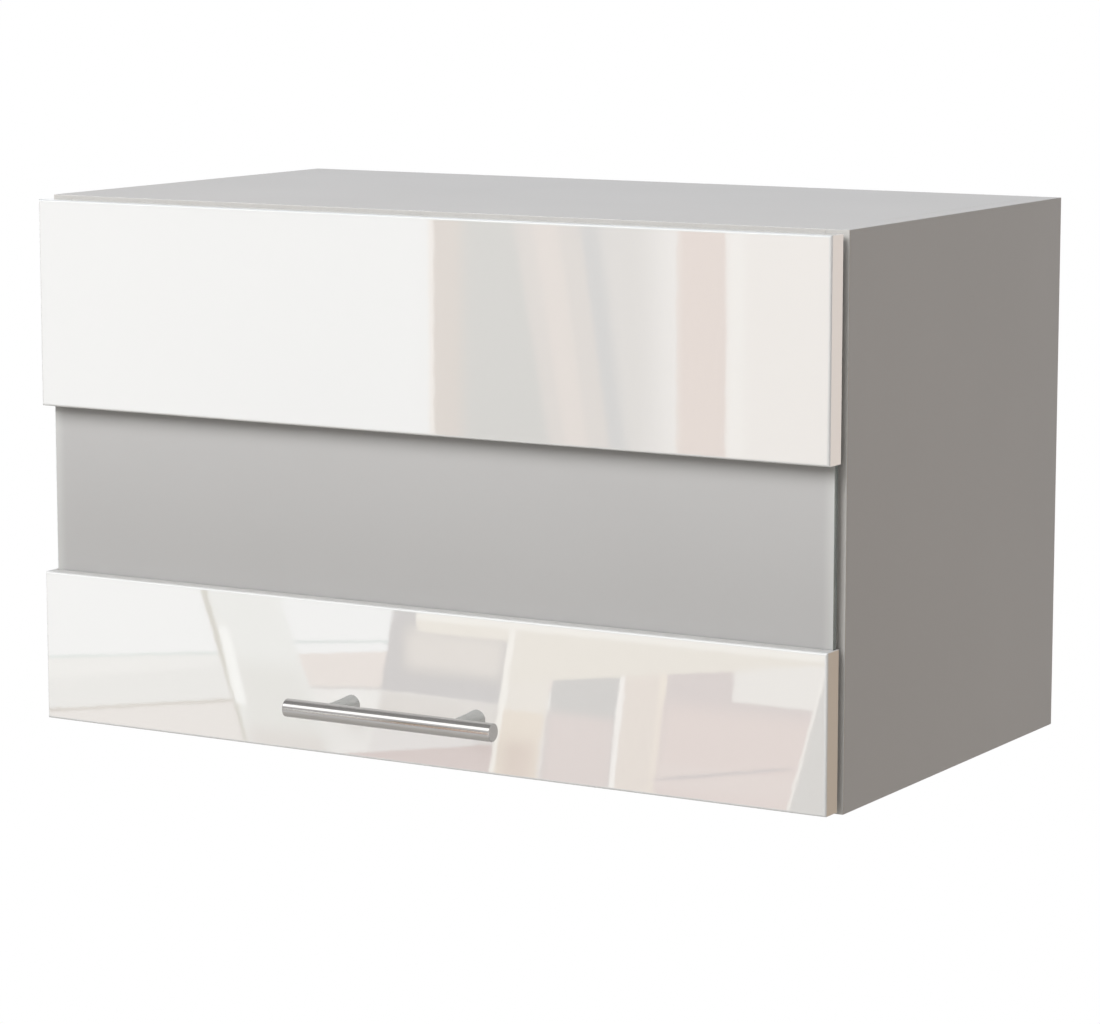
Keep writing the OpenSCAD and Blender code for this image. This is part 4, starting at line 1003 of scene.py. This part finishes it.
# %% Extrude the seals
RIBS = 3
RIB_DEPTH = 0.3                             # half the rise of a rib, as a share of the thickness
SEAL_HEIGHT = 10 * MM
low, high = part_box("glazing_seals")
height = np.linspace(0, 1, 37)
bulge = 1 - RIB_DEPTH - RIB_DEPTH * np.cos(2 * math.pi * RIBS * (height - 0.5 / RIBS))
seals = []
for foot in (low.z, high.z - SEAL_HEIGHT):
    ribbed = np.stack([high.y - (high.y - low.y) * bulge, foot + height * SEAL_HEIGHT], axis=-1)
    back = np.array([(high.y, foot + SEAL_HEIGHT), (high.y, foot)])
    section = np.concatenate([ribbed, back])
    seals.append(drawn(lambda inset: section, [(low.x, 0), (high.x, 0)]))
skinned("glazing_seals", seals, [soft_clear])

# %% [markdown]
# ## Door bumpers
# Two clear domes stick to the back of the door and soften its closing. The dome is a quarter
# ellipse on a short straight foot.

# %% Press the bumpers
FOOT_SHARE = 0.3                            # of the bumper's thickness
low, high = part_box("door_bumpers")
radius = (high.z - low.z) / 2
thick = high.y - low.y
foot = FOOT_SHARE * thick
arc = np.linspace(0, math.pi / 2, 14)
dome = [(0, 0), (0, radius)] + list(zip(foot + (thick - foot) * np.sin(arc), radius * np.cos(arc)))
skinned("door_bumpers", [turned(dome, (x, low.y, (low.z + high.z) / 2), (0, 1, 0), 40)
                         for x in (low.x + radius, high.x - radius)], [soft_clear])

# %% [markdown]
# ## The handle
# The bar is turned with a small rounded edge at each end, and its end faces are very slightly
# domed by the polishing wheel.

# %% Turn the bar
BAR_R = (bar_high.z - bar_low.z) / 2
BAR_Y = (bar_low.y + bar_high.y) / 2
BAR_Z = (bar_low.z + bar_high.z) / 2
EDGE_R = 0.8 * MM
DOME = 0.15 * MM

arc = np.linspace(0, math.pi / 2, 8)
flat = np.linspace(0, 1, 6)[:-1]
dome = [(DOME * s ** 2, (BAR_R - EDGE_R) * s) for s in flat]
edge = list(zip(DOME + (EDGE_R - DOME) * (1 - np.cos(arc)), BAR_R - EDGE_R + EDGE_R * np.sin(arc)))
length = bar_high.x - bar_low.x
end = dome + edge
profile = end + [(length - distance, radius) for distance, radius in reversed(end)]
bar = skinned("handle_bar", [turned(profile, (bar_low.x, BAR_Y, BAR_Z), (1, 0, 0), 96)], [brushed_bar])
bar.visible_glossy = False                  # the gloss in the photograph neither mirrors the handle
bar.visible_shadow = False                  # nor takes its shadow

# %% [markdown]
# The posts flare towards the door in a smooth curve, and their tops are hollowed to seat the bar:
# at height h off the bar's middle, the saddle lies the square root of R squared minus h squared
# from the bar's axis, towards the door.

# %% Flare the posts
post_low, post_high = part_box("handle_posts")
FOOT_R = (post_high.z - post_low.z) / 2
TOP_R = 5.0 * MM
SEAT_R = BAR_R + 0.05 * MM                  # the saddle clears the bar by a hair
angle = np.linspace(0, 2 * math.pi, 64, endpoint=False)
rise = np.linspace(0, 1, 20)[:, None]


def post(x):
    """Rings from the door to the saddle. Radius: top + (foot - top) * (1 - rise) squared."""
    radius = TOP_R + (FOOT_R - TOP_R) * (1 - rise) ** 2
    across, up = radius * np.cos(angle), radius * np.sin(angle)
    seat = BAR_Y + np.sqrt(SEAT_R ** 2 - (TOP_R * np.sin(angle)) ** 2)
    outward = DOOR_FACE + (seat - DOOR_FACE) * rise
    sides = np.stack([x + across, outward, BAR_Z + up], axis=-1)
    shrink = np.linspace(1, 0, 6)[1:, None]
    across, up = TOP_R * shrink * np.cos(angle), TOP_R * shrink * np.sin(angle)
    saddle = np.stack([x + across, BAR_Y + np.sqrt(SEAT_R ** 2 - up ** 2), BAR_Z + up], axis=-1)
    return np.concatenate([sides, saddle])


posts = skinned("handle_posts", [post(post_low.x + FOOT_R), post(post_high.x - FOOT_R)], [brushed_posts])
posts.visible_glossy = False                # as the bar
posts.visible_shadow = False

# %% [markdown]
# ## Dowels
# A dowel is fluted so that glue and air can get past it, and its ends are chamfered so that it
# finds its hole. Its radius dips by a little at each flute: r * (1 - depth * |cos(n a)| to the
# sixth), with n half the number of flutes, which leaves wide ridges and narrow grooves.

# %% Flute the dowels
low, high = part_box("dowels")
DOWEL_R = 4.0 * MM
DOWEL_L = 30.0 * MM
FLUTES = 12
FLUTE_DEPTH = 0.07                          # as a share of the radius
CHAMFER = 0.8 * MM
angle = np.linspace(0, 2 * math.pi, FLUTES * 8, endpoint=False)
groove = 1 - FLUTE_DEPTH * np.abs(np.cos(angle * FLUTES / 2)) ** 6
stations = np.array([(0, DOWEL_R - CHAMFER), (CHAMFER, DOWEL_R), (DOWEL_L - CHAMFER, DOWEL_R),
                     (DOWEL_L, DOWEL_R - CHAMFER)])


def dowel(x, y, z):
    """Rings of one dowel that starts at x and lies along X: radius * (cos a, sin a) round its axis."""
    radius = stations[:, 1, None] * groove
    return np.stack([np.broadcast_to(x + stations[:, :1], radius.shape),
                     y + radius * np.cos(angle), z + radius * np.sin(angle)], axis=-1)


skinned("dowels", [dowel(x, y, z)
                   for x in (low.x, high.x - DOWEL_L)
                   for y in (low.y + DOWEL_R, high.y - DOWEL_R)
                   for z in (low.z + DOWEL_R, high.z - DOWEL_R)], [beech])

# %% [markdown]
# ## Last checks
# The looks are not meant to change the cabinet's size. The box after them is compared with the box
# before, and the last line prints by how much the cabinet has grown.

# %% Write the sizes and finish
low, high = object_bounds()
print("grown by", [round(gap / MM, 3) for gap in (*(cad_low - low), *(high - cad_high))], "mm")
